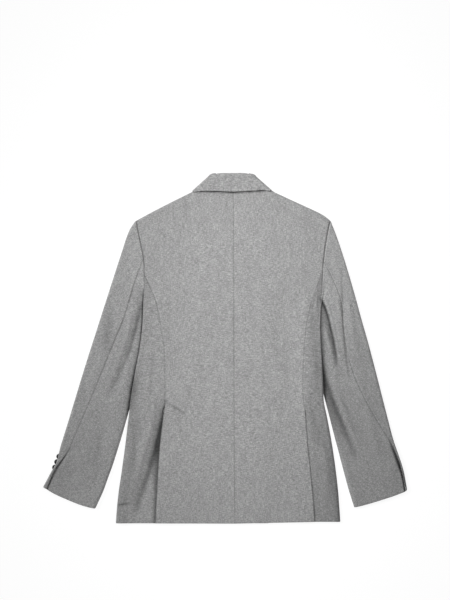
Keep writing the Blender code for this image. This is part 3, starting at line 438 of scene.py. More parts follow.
def shoulder_panel(left, right, top, bottom, columns, rows, height, meet_height, neck_share):
    """Panel whose top edge turns over half a fold along the shoulder, to meet its neighbour.

    height: middle of this cloth; meet_height: middle between the two cloths at the shoulder.
    """
    turn = np.radians([90, 60, 30, 0])
    u = np.tile(columns, (len(turn) + len(rows), 1))
    v = np.zeros_like(u)
    edge = coons(left, right, top, bottom, u[0], v[0])
    probe = 0.01
    inner = coons(left, right, top, bottom, u[0], v[0] + probe)
    column_run = inner - edge
    tangent = unit(np.gradient(edge, axis=0))
    depth = np.abs(column_run[:, 0] * tangent[:, 1] - column_run[:, 1] * tangent[:, 0]) / probe
    reach = np.abs(height(*edge.T) - meet_height(*edge.T))
    turned = ease((columns - neck_share) / 0.03)
    for k, angle in enumerate(turn):
        v[k] = (CLOTH / 2 * turned + reach * (1 - np.sin(angle))) / depth
    start = v[len(turn) - 1]
    for k, row in enumerate(rows):
        v[len(turn) + k] = row + start * max(0.0, 1 - row / rows[4])
    plan = coons(left, right, top, bottom, u, v)
    z = height(plan[..., 0], plan[..., 1])
    middle = meet_height(*edge.T)
    for k, angle in enumerate(turn):
        rolled = middle + (z[k] - middle) * np.cos(angle)
        if angle == turn[0]:
            rolled = rolled + np.sign(z[k] - middle) * 1.2 * LAYER_GAP
        z[k] += (rolled - z[k]) * turned
    return np.concatenate([plan, z[..., None]], -1)


# ---------------------------------------------------------------- back and side panels
def shoulder_meet_z(side):
    """Height function of the middle between back and front at the shoulder."""
    return lambda x, y: (body_top_z(x, y) + front_z(side)(x, y)) / 2


def outer_path(side, seam, inset, top_y, v):
    """Armhole from the shoulder down to the seam's top, then the seam down to the hem."""
    y = top_y + (HEM_Y[side] - top_y) * v
    x = np.where(y > seam_top_y(side), armhole_x(side, y), seam(side, y))
    return np.stack([x - side * inset, y], -1)


def top_path(side, start_x, start_y, u, neck_share):
    """Neck seam, then the shoulder line."""
    shoulder = SHOULDER[side]
    neck_u = np.clip(u / neck_share, 0, 1)
    neck = np.stack([start_x + (shoulder[0][0] - start_x) * neck_u,
                     start_y + (shoulder[0][1] - start_y) * neck_u**2], -1)
    slope = smooth_path(shoulder, np.clip((u - neck_share) / (1 - neck_share), 0, 1))
    slope[..., 0] -= side * SEAM_GAP * np.clip((u - neck_share) / (1 - neck_share), 0, 1)
    return np.where((u < neck_share)[..., None], neck, slope)


def back_panel(side):
    """Half of the back, from the centre seam to the armhole and the side seam."""
    gap = side * SEAM_GAP

    def centre(v):
        y = NECK_CENTRE_Y + (HEM_CENTRE_Y - NECK_CENTRE_Y) * v
        return np.stack([centre_x(y) + gap, y], -1)

    def top(u):
        return top_path(side, centre_x(NECK_CENTRE_Y) + gap, NECK_CENTRE_Y, np.asarray(u, float),
                        BACK_NECK_SHARE)

    def outer(v):
        return outer_path(side, seam_x, SEAM_GAP, SHOULDER_TIP_Y, v)

    def height(x, y):
        return body_top_z(x, y) + vent_part(side, x, y)

    columns = np.array([0, 0.1, 0.2, 0.34, 0.45, 0.56, 0.68, 0.79, 0.88, 0.95, 1.0])
    rows = seam_shares(side, SHOULDER_TIP_Y)
    return shoulder_panel(centre, outer, top, straight_hem(centre, outer), columns, rows, height,
                          shoulder_meet_z(side), BACK_NECK_SHARE)


def seam_rows(side):
    """Heights y of the rows along the side seams, closest at the underarm and the vent."""
    top, vent = seam_top_y(side), VENT_TOP_Y[side]
    opened = vent + VENT_START - VENT_RAMP
    return np.concatenate([top - np.array([0, 9, 20, 34, 52]),
                           np.linspace(top - 84, vent + VENT_START, 7),
                           [vent + VENT_START - VENT_RAMP / 2, opened,
                            opened - UNDERLAP_RUN / 2, opened - UNDERLAP_RUN],
                           np.linspace(opened - UNDERLAP_RUN, HEM_Y[side], 7)[1:]])


def seam_shares(side, top_y):
    """The armhole's rows and these, as shares of the way from top_y to the hem."""
    shares = (top_y - seam_rows(side)) / (top_y - HEM_Y[side])
    return np.concatenate([np.linspace(0, shares[0], 7)[1:-1], shares])


def side_panel(side):
    """Side panel: down from the back seam, round the side fold and in to the front seam."""
    seam_y = seam_rows(side)
    v = (seam_y[0] - seam_y) / (seam_y[0] - HEM_Y[side])
    fold_y = underarm_y(side) + (HEM_Y[side] - underarm_y(side)) * v
    opened = ease((VENT_TOP_Y[side] - VENT_RAMP + VENT_START - seam_y) / UNDERLAP_RUN)
    seam = np.stack([seam_x(side, seam_y) + side * SEAM_GAP
                     - side * (UNDERLAP + SEAM_GAP) * opened, seam_y], -1)
    front = np.stack([front_seam_x(side, seam_y) + side * SEAM_GAP, seam_y], -1)
    fold = np.stack([edge_x(side, fold_y), fold_y], -1)
    shrink = ease(v / 0.03) * CLOTH / 2
    fold[:, 0] -= side * np.where(v > 0, shrink, SEAM_GAP)
    outward = unit(fold - seam)

    def height(x, y):
        return body_top_z(x, y) - vent_part(side, x, y)

    return fold_round(seam, fold, front, outward, height, front_z(side), (6, 6, 5),
                      lambda y: armhole_x(side, y) - side * SEAM_GAP)


def front_seam_x(side, y):
    """Seam between side panel and front, on the underside."""
    straight = edge_x(side, y) - side * FRONT_SEAM_IN
    blend = ease((seam_top_y(side) - y) / FRONT_SEAM_RUN)
    return seam_x(side, y) * (1 - blend) + straight * blend


def fold_round(upper, fold, lower, outward, upper_z, lower_z, counts, start_x=None):
    """Grid of a cloth that runs from `upper` to the fold, turns under and runs to `lower`.

    Each is a row of plan points. start_x gives x of the first row, which lies in the armhole.
    """
    high = upper_z(fold[:, 0], fold[:, 1])
    radius = (high - lower_z(fold[:, 0], fold[:, 1])) / 2
    turn_at = fold - outward * radius[:, None]
    flat_above, turns, flat_below = counts
    grid = []
    for s in np.linspace(0, 1, flat_above)[:-1]:
        plan = upper + (turn_at - upper) * s
        grid.append((plan, upper_z(plan[:, 0], plan[:, 1])))
    top = upper_z(turn_at[:, 0], turn_at[:, 1])
    bottom = lower_z(turn_at[:, 0], turn_at[:, 1])
    half, middle = (top - bottom) / 2, (top + bottom) / 2
    for angle in np.linspace(0, np.pi, turns + 1):
        plan = turn_at + outward * (radius * np.sin(angle))[:, None]
        grid.append((plan, middle + half * np.cos(angle)))
    for s in np.linspace(0, 1, flat_below)[1:]:
        plan = turn_at + (lower - turn_at) * s
        grid.append((plan, lower_z(plan[:, 0], plan[:, 1])))
    plan = np.stack([p for p, _ in grid], 1)
    z = np.stack([h for _, h in grid], 1)
    if start_x is not None:
        plan[0, :, 0] = start_x(plan[0, :, 1])
    return np.concatenate([plan, z[..., None]], -1)


# ---------------------------------------------------------------- fronts and lapels
def front_panel(side):
    """Half of the front, on the underside: shoulder, armhole, front seam, hem, roll line."""
    def inner(v):
        top_y = NECK_FRONT[1]
        y = top_y + (HEM_Y[side] - top_y) * v
        inset = (ROLL_RADIUS + CLOTH / 2 + 2 * LAYER_GAP) * ease((y - BREAK_Y + 4) / 6)
        x = roll_x(side, y) + side * inset
        neck = ease((y - top_y + 14) / 14)
        return np.stack([x + (side * NECK_FRONT[0] - x) * neck, y], -1)

    def top(u):
        start = inner(np.array(0.0))
        return top_path(side, start[0], start[1], np.asarray(u, float), FRONT_NECK_SHARE)

    def outer(v):
        return outer_path(side, front_seam_x, SEAM_GAP, SHOULDER_TIP_Y, v)

    columns = np.array([0, .05, .1, .19, .31, .4, .48, .58, .68, .79, .89, 1.0])
    rows = seam_shares(side, SHOULDER_TIP_Y)
    return shoulder_panel(inner, outer, top, straight_hem(inner, outer), columns, rows,
                          front_z(side), shoulder_meet_z(side), FRONT_NECK_SHARE)


def lapel_panel(side):
    """Peaked lapel on the underside, rolled up to its front along the roll line."""
    end = LEFT_LAPEL_END if side == LEFT else None
    rows = np.linspace(0, 1, 12)

    def roll(v):
        low = end[0][1] if end else BREAK_Y + 2
        y = LAPEL_TOP[0][1] + (low - LAPEL_TOP[0][1]) * v
        return np.stack([roll_x(side, y), y], -1)

    def rim(v):
        path = np.array(LAPEL_RIM, float)
        if end:
            keep = path[path[:, 1] > 100]
            path = np.concatenate([keep, [(-end[1][0], end[1][1])]])
        return smooth_path(path, v) * (side, 1)

    def top(u):
        return along(np.array(LAPEL_TOP) * (side, 1), u)

    gorge, peak = np.hypot(*np.diff(np.array(LAPEL_TOP, float), axis=0).T)
    notch = gorge / (gorge + peak)
    columns = np.array([0, notch / 2, notch, (notch + 1) / 2, 1])
    u, v = np.meshgrid(columns, rows)
    plan = coons(roll, rim, top, straight_hem(roll, rim), u, v)
    edge = roll(rows)
    outward = unit(edge - plan[:, 1])
    turn_at = edge - outward * (ROLL_RADIUS + CLOTH / 2)
    plan[:, 0] = turn_at
    flat = np.concatenate([plan, FLOOR_Z + (LAPEL_LIFT * u**2 * (1 - v / 2))[..., None]], -1)
    turned = []
    for angle in np.radians([180, 135, 90, 45]):
        point = turn_at + outward * ROLL_RADIUS * np.sin(angle)
        z = FLOOR_Z + ROLL_RADIUS * (1 - np.cos(angle))
        turned.append(np.concatenate([point, np.full((len(rows), 1), z)], -1))
    return np.concatenate([np.stack(turned, 1), flat], 1)


# ---------------------------------------------------------------- collar
def collar_fall():
    """The fall: across the neck, round both slants and down to the gorge seams."""
    widths = np.array([0, .25, .5, .75, 1.0])
    leaf = {side: np.array(SLANT[side][0], float) for side in (LEFT, RIGHT)}
    fold = {side: np.array(SLANT[side][1], float) for side in (LEFT, RIGHT)}
    up = np.array([0.0, 0.0, 1.0])

    def slant(side):
        run = unit(fold[side] - leaf[side])
        out = np.array([-run[1], run[0]]) * (1 if side == LEFT else -1)
        return run, out

    def inset_line(side):
        """Plan points on the slant, moved in to where the turn under begins."""
        run, out = slant(side)
        points = leaf[side] + (fold[side] - leaf[side]) * widths[:, None]
        points[-1] -= run * (COLLAR_ROLL + CLOTH / 2)
        radius = (COLLAR_Z + COLLAR_RISE * widths - FLOOR_Z) / 2
        return points - out * (radius + CLOTH / 2)[:, None], radius, run, out

    def drawn_in(side):
        """How far each point of the slant is moved in, and the slant's direction."""
        start, _, run, _ = inset_line(side)
        return start - leaf[side] - (fold[side] - leaf[side]) * widths[:, None], run

    stations, facings, across = [], [], []

    def add(plan, z, normal, roll_way):
        stations.append(np.concatenate([plan, np.broadcast_to(z, len(plan))[:, None]], -1))
        facings.append(normal)
        across.append(roll_way)

    def underside(side, fractions):
        start, _, run, _ = inset_line(side)
        gorge = np.array(GORGE[side], float)
        end = gorge[0] + (gorge[1] - gorge[0]) * widths[:, None]
        end[-1, 0] += side * (COLLAR_ROLL + CLOTH / 2)
        for f in fractions:
            turned = ease(f / GORGE_TURN)
            way = unit(run * (1 - turned) + np.array([-side, 0.0]) * turned)
            add(start + (end - start) * f, FLOOR_Z, -up, np.array([*way, 0.0]))

    def wrap(side, angles):
        start, radius, run, out = inset_line(side)
        for angle in angles:
            plan = start + out * (radius * np.sin(angle))[:, None]
            plan[-1] += run * CORNER_REACH * (1 - np.sin(angle))
            normal = np.array([*(out * np.sin(angle)), np.cos(angle)])
            add(plan, FLOOR_Z + radius * (1 + np.cos(angle)), normal, np.array([*run, 0.0]))

    turns = np.linspace(0, np.pi, 7)
    underside(LEFT, (1, .66, .33))
    wrap(LEFT, turns[::-1])
    drawn_l, run_l = drawn_in(LEFT)
    drawn_r, run_r = drawn_in(RIGHT)
    for f in np.linspace(0, 1, 12)[1:-1]:
        low = smooth_path(LEAF_EDGE, f)
        high = smooth_path(FOLD_EDGE, f) - (0, COLLAR_ROLL + CLOTH / 2)
        plan = low + (high - low) * widths[:, None]
        sides = (drawn_l * (1 - ease(f / SLANT_FADE))
                 + drawn_r * (1 - ease((1 - f) / SLANT_FADE)))
        plan = plan + sides * (1, SLANT_DROP)
        way = unit(run_l * (1 - ease(f / WAY_FADE)) + run_r * (1 - ease((1 - f) / WAY_FADE))
                   + np.array([0.0, 1.0]) * ease(min(f, 1 - f) / WAY_FADE))
        add(plan, COLLAR_Z + COLLAR_RISE * widths, up, np.array([*way, 0.0]))
    wrap(RIGHT, turns)
    underside(RIGHT, (.33, .66, 1))

    grid = []
    for points, normal, way in zip(stations, facings, across):
        rim = points[-1]
        rolled = [rim + COLLAR_ROLL * (np.sin(a) * way + (np.cos(a) - 1) * normal)
                  for a in np.radians([45, 90, 135, 180])]
        back = rim - 2 * COLLAR_ROLL * normal - COLLAR_RETURN * way
        grid.append(np.concatenate([points, rolled, [back]]))
    return np.array(grid)


def neck_seam_y(x):
    """The back's neck seam."""
    start_x = centre_x(NECK_CENTRE_Y)
    total = 0.0
    for side in (LEFT, RIGHT):
        end_x, end_y = SHOULDER[side][0]
        share = np.clip((x - start_x) / (end_x - start_x), 0, None)
        total = total + (end_y - NECK_CENTRE_Y) * share**2
    return NECK_CENTRE_Y + total


def collar_stand():
    """The stand, under the fall from its hidden edge down to the back's neck seam."""
    top_y = FOLD_EDGE[2][1] - COLLAR_ROLL - CLOTH / 2 - COLLAR_RETURN - 2 * SEAM_GAP
    u, v = np.meshgrid(np.linspace(-1, 1, 13), np.linspace(0, 1, 4))
    top_half, seam_half = STAND_HALF
    half = top_half + (seam_half - top_half) * v
    seam_y = neck_seam_y(seam_half * u + STAND_X) + 2.5 * SEAM_GAP
    y = (top_y - 3 * u**4) + (seam_y - top_y + 3 * u**4) * v
    top_z = COLLAR_Z + COLLAR_RISE - 2 * COLLAR_ROLL
    z = top_z + (BACK_Z - top_z) * v
    return np.stack([half * u + STAND_X, y, z], -1)


# ---------------------------------------------------------------- sleeves
def sleeve_sections(side, v):
    """Plan points of the outer edge, hind seam and inner edge at the sections v."""
    table = np.array(SLEEVE[side], float)
    index = np.arange(len(table))
    column = [spline(list(zip(index, table[:, k])), v) for k in range(6)]
    return (np.stack(column[0:2], -1), np.stack(column[2:4], -1), np.stack(column[4:6], -1))


def sleeve_top_z(side, section, inner_share):
    """Height function of the sleeve's upper layer for one row of sections."""
    tuck = band(section, *TUCK_SECTIONS[side]) * (SLEEVE_Z - TUCKED_Z)

    def height(x, y, share):
        base = SLEEVE_Z - tuck * fade_in(share, *TUCK_SHARE)
        joined = 1 - ease(section / ARMHOLE_JOIN)
        base = base + (BACK_Z - base) * joined + CUFF_SPARE * cuff_raise(side, x, y)
        return np.maximum(base + fold_z(x, y), LOWEST_UPPER_Z)

    return lambda x, y: height(x, y, inner_share(x, y))


def cuff_raise(side, x, y):
    """1 over the row of cuff buttons, fading to 0 around it."""
    first, run = CUFF_BUTTON_FIRST[side], CUFF_BUTTON_RUN[side]
    at = (x - first[0]) * run[0] + (y - first[1]) * run[1]
    beyond = at - np.clip(at, 0, CUFF_BUTTON_PITCH * (CUFF_BUTTONS - 1))
    beside = (x - first[0]) * run[1] - (y - first[1]) * run[0]
    flat, fade = CUFF_RAISE
    return 1 - ease((np.hypot(beyond, beside) - flat) / fade)


def hem_bow(side, section, outer, inner, plan):
    """Bow of the sleeve hem, spread over the last sections."""
    span = inner - outer
    share = np.clip(np.sum((plan - outer) * span, -1) / np.sum(span * span, -1), 0, 1)
    down = np.stack([span[:, 1], -span[:, 0]], -1)
    down = unit(np.where(down[:, 1:2] > 0, -down, down))
    amount = HEM_BOW[side] * (1 - np.abs(2 * share - 1)**3) * fade_in(section, *BOW_SECTIONS)
    return plan + down * amount[:, None]


def sleeve_parts(side, under):
    """Grid of the top sleeve (under=False) or of the under sleeve (under=True)."""
    section = SLEEVE_ROWS
    outer, seam, inner = sleeve_sections(side, section)
    inset = np.where(section > 0, CLOTH / 2, 0)[:, None]

    def normal_of(path):
        tangent = unit(np.gradient(path, axis=0))
        return np.stack([tangent[:, 1], -tangent[:, 0]], -1)

    def toward(path, other):
        normal = normal_of(path)
        sign = np.sign(np.sum(normal * (other - path), -1, keepdims=True))
        return normal * sign

    outer_fold = outer + toward(outer, seam) * inset
    inner_fold = inner + toward(inner, seam) * inset
    slit = fade_in(section, CUFF_SECTION, SLIT_OPENS) * (CUFF_SLIT[side] - SEAM_GAP) + SEAM_GAP
    across = unit(inner - seam)
    foreseam = inner_fold - unit(inner_fold - outer_fold) * (
        FORESEAM * (0.5 + 0.5 * ease(section / 2)))[:, None]

    span = inner - outer
    length2 = np.sum(span * span, -1)

    def share(x, y):
        return ((x - outer[:, 0]) * span[:, 0] + (y - outer[:, 1]) * span[:, 1]) / length2

    high = sleeve_top_z(side, section, share)

    def low(x, y):
        return FLOOR_Z + (CUFF_BUTTON_THICK + LAYER_GAP) * cuff_raise(side, x, y)

    def start_x(y):
        return armhole_x(side, y) + side * SEAM_GAP

    way, fold, counts = (1, inner_fold, (8, 6, 3)) if under else (-1, outer_fold, (5, 6, 6))
    edge = seam + way * across * slit[:, None]
    lower = foreseam + way * unit(inner_fold - outer_fold) * SEAM_GAP
    grid = fold_round(edge, fold, lower, unit(fold - edge), high, low, counts, start_x)
    for j in range(grid.shape[1]):
        grid[:, j, :2] = hem_bow(side, section, outer, inner, grid[:, j, :2])
    return grid


# ---------------------------------------------------------------- creases of the laid cloth
# Columns: three points x, y of the crease, half width, height (+ridge, -trough), darkness of the
# painted shade in it.
CREASES = (
    (-148, -110, -124, -127, -102, -139, 2.4, -0.7, 0.50),  # drag lines from the left vent's top
    (-148, -122, -126, -136, -104, -148, 4.5, 1.6, 0.0),
    (-146, -98, -132, -88, -112, -82, 9.0, 0.6, 0.0),
    (-150, -118, -174, -236, -210, -346, 7.0, -1.5, 0.62),  # left side panel
    (-170, -130, -190, -216, -220, -316, 7.0, 2.6, 0.0),
    (-200, -150, -212, -230, -224, -330, 6.0, -0.9, 0.08),
    (-219, -143, -212, -190, -211, -311, 2.0, -0.4, 0.20),
    (-176, -20, -180, -60, -186, -110, 5.0, 1.2, 0.0),
    (-168, -10, -171, -56, -174, -104, 4.0, -0.6, 0.07),
    (-250, -334, -233, -330, -216, -329, 2.2, -0.6, 0.46),
    (163, -121, 184, -186, 200, -226, 7.0, -1.0, 0.14),     # right side panel
    (200, -226, 207, -262, 211, -315, 7.0, -0.8, 0.12),
    (176, -140, 190, -200, 198, -300, 6.0, 1.2, 0.0),
    (158, -150, 164, -220, 172, -330, 6.0, 1.1, 0.0),
    (172, 40, 176, -40, 182, -110, 6.0, -0.8, 0.08),
    (61, -262, 80, -244, 96, -222, 6.0, -0.3, 0.07),        # across the lower back
    (68, -268, 88, -250, 104, -228, 7.0, 1.0, 0.0),
    (-60, -150, -78, -190, -84, -250, 14.0, 0.9, 0.0),
    (20, -120, 30, -200, 26, -300, 18.0, 0.8, 0.0),
    (-120, 262, -150, 250, -180, 226, 16.0, 0.7, 0.0),      # shoulder blades
    (126, 258, 150, 244, 178, 216, 16.0, 0.7, 0.0),
    (-60, 40, -85, -40, -92, -110, 20.0, 0.9, 0.0),         # waist
    (70, 30, 92, -40, 96, -120, 20.0, 0.8, 0.0),
    (-197, 96, -209, 40, -228, -22, 4.4, -2.8, 0.56),       # left sleeve
    (-222, -4, -240, -46, -264, -99, 6.5, -2.4, 0.30),
    (-262, 80, -265, 40, -266, -4, 8.0, -2.0, 0.20),
    (-199, 172, -214, 122, -228, 68, 3.0, -0.8, 0.14),
    (-228, 68, -248, 28, -272, -30, 3.4, -1.2, 0.18),
    (-214, 92, -223, 40, -240, -14, 4.6, 1.8, 0.0),
    (-238, 60, -246, 20, -262, -30, 6.0, 1.6, 0.0),
    (-276, 40, -284, -20, -300, -80, 9.0, 1.6, 0.0),
    (-204, -50, -213, -98, -226, -146, 8.0, -2.2, 0.34),
    (-244, -110, -256, -170, -268, -240, 10.0, 1.4, 0.0),
    (-290, -150, -310, -210, -330, -262, 9.0, 1.4, 0.0),
    (-262, -150, -284, -210, -300, -290, 8.0, -1.0, 0.08),
    (184, 104, 197, 72, 205, 34, 3.0, -3.0, 0.88),          # right sleeve
    (203, 50, 211, 12, 219, -34, 3.4, -2.8, 0.78),
    (192, 106, 204, 74, 212, 36, 3.0, 1.8, 0.0),
    (188, 70, 194, 46, 198, 20, 3.4, 1.0, 0.16),
    (210, 46, 218, 10, 227, -34, 3.4, 1.8, 0.0),
    (228, 168, 230, 100, 232, 36, 2.2, -0.9, 0.34),
    (232, 44, 237, -10, 245, -60, 2.6, -1.4, 0.34),
    (218, 104, 222, 84, 226, 60, 4.0, 1.4, 0.0),
    (196, 30, 204, 6, 211, -30, 4.5, 2.0, 0.0),
    (243, 110, 248, 60, 256, -20, 8.0, 1.6, 0.0),
    (190, -52, 214, -122, 256, -224, 6.5, -2.2, 0.52),
    (206, -64, 232, -130, 262, -204, 6.0, 1.6, 0.0),
    (196, -96, 208, -140, 226, -190, 9.0, -0.6, 0.22),
    (258, -60, 276, -110, 296, -170, 8.0, 1.2, 0.0),
    (282, -150, 300, -210, 312, -268, 8.0, 1.2, 0.0),
    # The last two rows have no height; they only add painted shade along the cuff slits.
    (328, -192, 345, -240, 364, -292, 2.6, 0.0, 0.80),      # along the cuff slits
    (-346, -210, -371, -250, -397, -300, 1.8, 0.0, 0.55),
)
# Rows of the slow unevenness: wave lengths across and along, phase, height.
UNEVEN = ((168, 231, 0.4, 0.16), (97, 143, 2.1, 0.12), (61, 88, 4.0, 0.08), (38, 47, 1.2, 0.04))

# Below the underarm each under sleeve goes in by TUCK_DEEP, most at TUCK_BELOW under it.
TUCK_DEEP, TUCK_BELOW = 2.3, 15.0
TUCK_RUN, TUCK_REACH = 18.0, 12.0                      # half widths of this, down and across

# Places of rows and columns near an edge, so that a seam or a folded edge has points enough.
NEAR_EDGE = np.array([0.0, 0.5, 1.1, 1.9, 3.0, 4.6, 7.0])
# Each kind of edge: how deep it is pressed in, the half width of that, and the darkness of the
# painted shade along it.
EDGE_FORM = {
    "armhole": (1.3, 1.8, 0.62),
    "side seam": (0.45, 1.2, 0.14),
    "centre seam": (0.35, 1.0, 0.20),
    "hind seam": (0.5, 1.3, 0.2),
    "shoulder": (0.3, 1.2, 0.2),
    "folded": (0.3, 1.4, 0.0),
    "free": (0.15, 1.2, 0.24),
    "leaf": (0.25, 1.2, 0.95),
}
# The dark line along an edge is painted shade.
SHADE_HALF = 1.1       # half width of the dark line along an edge
INNER_SINK = 0.35      # share of that depth by which the inner face is pressed in too
RIM_BULGE = 0.3        # how far a rim is rounded out, as a share of the thickness
LOWEST_TOP = 2.3       # an upper layer's creases go no lower, clear of the cloth below
CREASE_FLAT = (0.3, 0.5)    # upright share of the normal from which creases set in; fade
CREASE_UPPER = (2.0, 0.9)   # height in mm from which they set in; fade
DARK_UPPER = (1.6, 0.5)     # the same for their darkness
CREASE_SAMPLES = 61         # points along a crease
CREASE_REACH = 3            # half widths beyond which a crease isn't felt
# Painted shade lies within these limits; below 0 it is painted light.
SHADE_LIMITS = (-0.1, 0.9)  # of all darkness together

# The darkness that follows is set against the photo; it multiplies the cloth's colour.
# Painted shade on a side panel where it dips under the back's loose edge, and its width in mm;
# columns: y, value.
VENT_SHADE = {LEFT: ((-108, 0.0), (-130, 0.66), (-200, 0.82), (-260, 0.70), (-340, 0.60)),
              RIGHT: ((-120, 0.06), (-340, 0.10))}
VENT_WIDTH = {LEFT: ((-108, 2.0), (-150, 4.5), (-200, 8.5), (-250, 10.0), (-345, 5.5)),
              RIGHT: ((-120, 3.0), (-340, 5.0))}
FREE_SHADE = {LEFT: 0.24, RIGHT: 0.02}                 # on the loose vent edges
# Painted shade on a side panel down its length, columns y, darkness; what is added at its side
# fold.
SIDE_SHADE = {LEFT: ((0, 0.0), (-340, 0.02)), RIGHT: ((0, 0.05), (-200, 0.08), (-300, 0.14))}
SIDE_EDGE_SHADE = {LEFT: 0.14, RIGHT: 0.20}
# Painted shadow on a sleeve beside the body's edge, from the underarm down; columns: y, darkness.
BODY_SHADE = {LEFT: ((120, 0.5), (96, 0.86), (60, 0.86), (20, 0.7), (-40, 0.66), (-80, 0.84),
                     (-140, 0.88)),
              RIGHT: ((120, 0.5), (96, 0.6), (70, 0.3), (0, 0.26), (-24, 0.6), (-60, 0.8),
                      (-130, 0.8))}
# Painted shade on a sleeve's cloth down its length, and painted light where it is below 0; columns:
# y, darkness.
SLEEVE_SHADE = {LEFT: ((200, -0.05), (60, 0.0), (-60, 0.02), (-240, 0.08), (-320, -0.01)),
                RIGHT: ((200, -0.06), (60, 0.02), (0, 0.09), (-160, 0.15), (-300, 0.09))}
# Painted shade along the seams; columns: y, darkness.
SEAM_SHADE = {LEFT: ((140, 0.32), (60, 0.16), (-20, 0.10), (-110, 0.14)),   # side seams
              RIGHT: ((140, 0.20), (60, 0.10), (-20, 0.06), (-110, 0.10))}
HIND_SHADE = {LEFT: ((60, 0.30), (-100, 0.20), (-200, 0.16)),               # hind seams
              RIGHT: ((130, 0.24), (40, 0.16), (-80, 0.06), (-180, 0.05))}
# On a sleeve beside the body's edge: half width of the painted shadow line, what it gains lower
# down, and the darkness and half width of the wide painted shade round it.
LINE_HALF, LINE_GAIN = 2.8, 2.2
LINE_START, LINE_FADE = 6, 16                          # above the underarm; fade
GAIN_Y, GAIN_RUN = 20, 120                             # height y where the gain starts; run
WIDE_DARK, WIDE_HALF = 0.2, 11
SIDE_EDGE_HALF = 26                                    # half width of SIDE_EDGE_SHADE
# Painted shadow below the collar's leaf edge; columns: darkness, distance below the edge, half
# width.
LEAF_SHADE = ((0.95, 0.3, 2.1), (0.08, 0, 7))


def crease_form(x, y):
    """Height of the creases and the painted shade in them, each along a bent line that fades at its
    ends.
    """
    total, dark = np.zeros_like(x), np.zeros_like(x)
    for x0, y0, x1, y1, x2, y2, width, height, shade in CREASES:
        t = np.linspace(0, 1, CREASE_SAMPLES)
        bend_x = (1 - t)**2 * x0 + 2 * t * (1 - t) * (2 * x1 - (x0 + x2) / 2) + t**2 * x2
        bend_y = (1 - t)**2 * y0 + 2 * t * (1 - t) * (2 * y1 - (y0 + y2) / 2) + t**2 * y2
        reach = CREASE_REACH * width
        near = ((x > bend_x.min() - reach) & (x < bend_x.max() + reach)
                & (y > bend_y.min() - reach) & (y < bend_y.max() + reach))
        if not near.any():
            continue
        px, py = x[near][:, None], y[near][:, None]
        away = np.hypot(px - bend_x, py - bend_y)
        k = away.argmin(1)
        fade = np.sin(np.pi * np.clip(0.06 + 0.88 * t[k], 0, 1))**0.7
        profile = fade * np.exp(-(away.min(1) / width)**2)
        total[near] += height * profile
        dark[near] += shade * profile
    return total, dark


def at_height(table, y):
    """Value at y in a table of y and value, given from the top down."""
    places_y, values = np.array(table[::-1], float).T
    return np.interp(y, places_y, values)


def beside_body(side, x, y):
    """Painted shadow on a sleeve close to the body's edge, which lies on it, and painted shade down
    the sleeve.
    """
    away = np.abs(x - edge_x(side, y))
    zone = ease((underarm_y(side) + LINE_START - y) / LINE_FADE)
    low = ease((GAIN_Y - y) / GAIN_RUN)
    deep = at_height(BODY_SHADE[side], y)
    near = deep * np.exp(-(away / (LINE_HALF + LINE_GAIN * low))**2)
    wide = WIDE_DARK * np.exp(-(away / WIDE_HALF)**2)
    return zone * (near + wide) + at_height(SLEEVE_SHADE[side], y)


def beside_vent(side, x, y):
    """Painted shade on a side panel where it dips under the back's loose edge, at its side fold and
    down its length.
    """
    away = side * (x - seam_x(side, y))
    wide = at_height(VENT_WIDTH[side], y)
    under = at_height(VENT_SHADE[side], y) * np.exp(-(np.maximum(away - 1, 0) / wide)**2)
    edge = SIDE_EDGE_SHADE[side] * np.exp(-((x - edge_x(side, y)) / SIDE_EDGE_HALF)**2)
    return under * (y < VENT_TOP_Y[side]) + edge + at_height(SIDE_SHADE[side], y)


def under_collar(x, y):
    """Painted shadow on the backs just below the collar's leaf edge."""
    leaf_x, leaf_y = np.array(LEAF_EDGE).T
    below = np.interp(x, leaf_x, leaf_y) - y
    inside = ease((x - leaf_x[0] + 2) / 4) * ease((leaf_x[-1] + 2 - x) / 4)
    return inside * sum(dark * np.exp(-((below - start) / half)**2)
                        for dark, start, half in LEAF_SHADE)


def tuck_in(side, grid):
    """Draws an under sleeve in below the underarm, so that the body's edge covers its fold."""
    low = (grid[..., 1] - underarm_y(side) + TUCK_BELOW) / TUCK_RUN
    away = (side * (grid[..., 0] - edge_x(side, grid[..., 1]))) / TUCK_REACH
    tucked = grid.copy()
    tucked[..., 0] -= side * TUCK_DEEP * np.exp(-low**2 - away**2)
    return tucked


def uneven_z(x, y):
    """The slow unevenness of cloth that has been worn."""
    total = np.zeros_like(x)
    for across, run, phase, height in UNEVEN:
        total += height * np.sin(2 * np.pi * (x / across + 0.35 * y / run) + phase) * np.cos(
            2 * np.pi * (y / run - 0.22 * x / across) + 1.7 * phase)
    return total


# ---------------------------------------------------------------- fine cloth
def resample(grid, at, axis):
    """Smooth curve through the grid's points along one axis, at shares of its mean length."""
    grid = np.moveaxis(grid, axis, 0)
    chord = np.linalg.norm(np.diff(grid, axis=0), axis=-1).mean(1)
    t = np.concatenate(([0], np.cumsum(chord)))
    t /= t[-1]
    step = np.diff(t)
    h = step[:, None, None]
    slope = np.diff(grid, axis=0) / h
    inner = (slope[:-1] * h[1:] + slope[1:] * h[:-1]) / (h[1:] + h[:-1])
    tangent = np.concatenate([slope[:1], inner, slope[-1:]])
    k = np.clip(np.searchsorted(t, at, side="right") - 1, 0, len(step) - 1)
    s = ((at - t[k]) / step[k])[:, None, None]
    fine = hermite(s, h[k], grid[k], tangent[k], grid[k + 1], tangent[k + 1])
    return np.moveaxis(fine, 0, axis)


def places(length, step):
    """Shares of a run of this length in mm: close together at both ends, `step` apart between."""
    near = NEAR_EDGE * min(1.0, length / (6 * NEAR_EDGE[-1]))
    between = np.linspace(near[-1], length - near[-1], max(3, int((length - 2 * near[-1]) / step)))
    return np.concatenate([near[:-1], between, length - near[-2::-1]]) / length


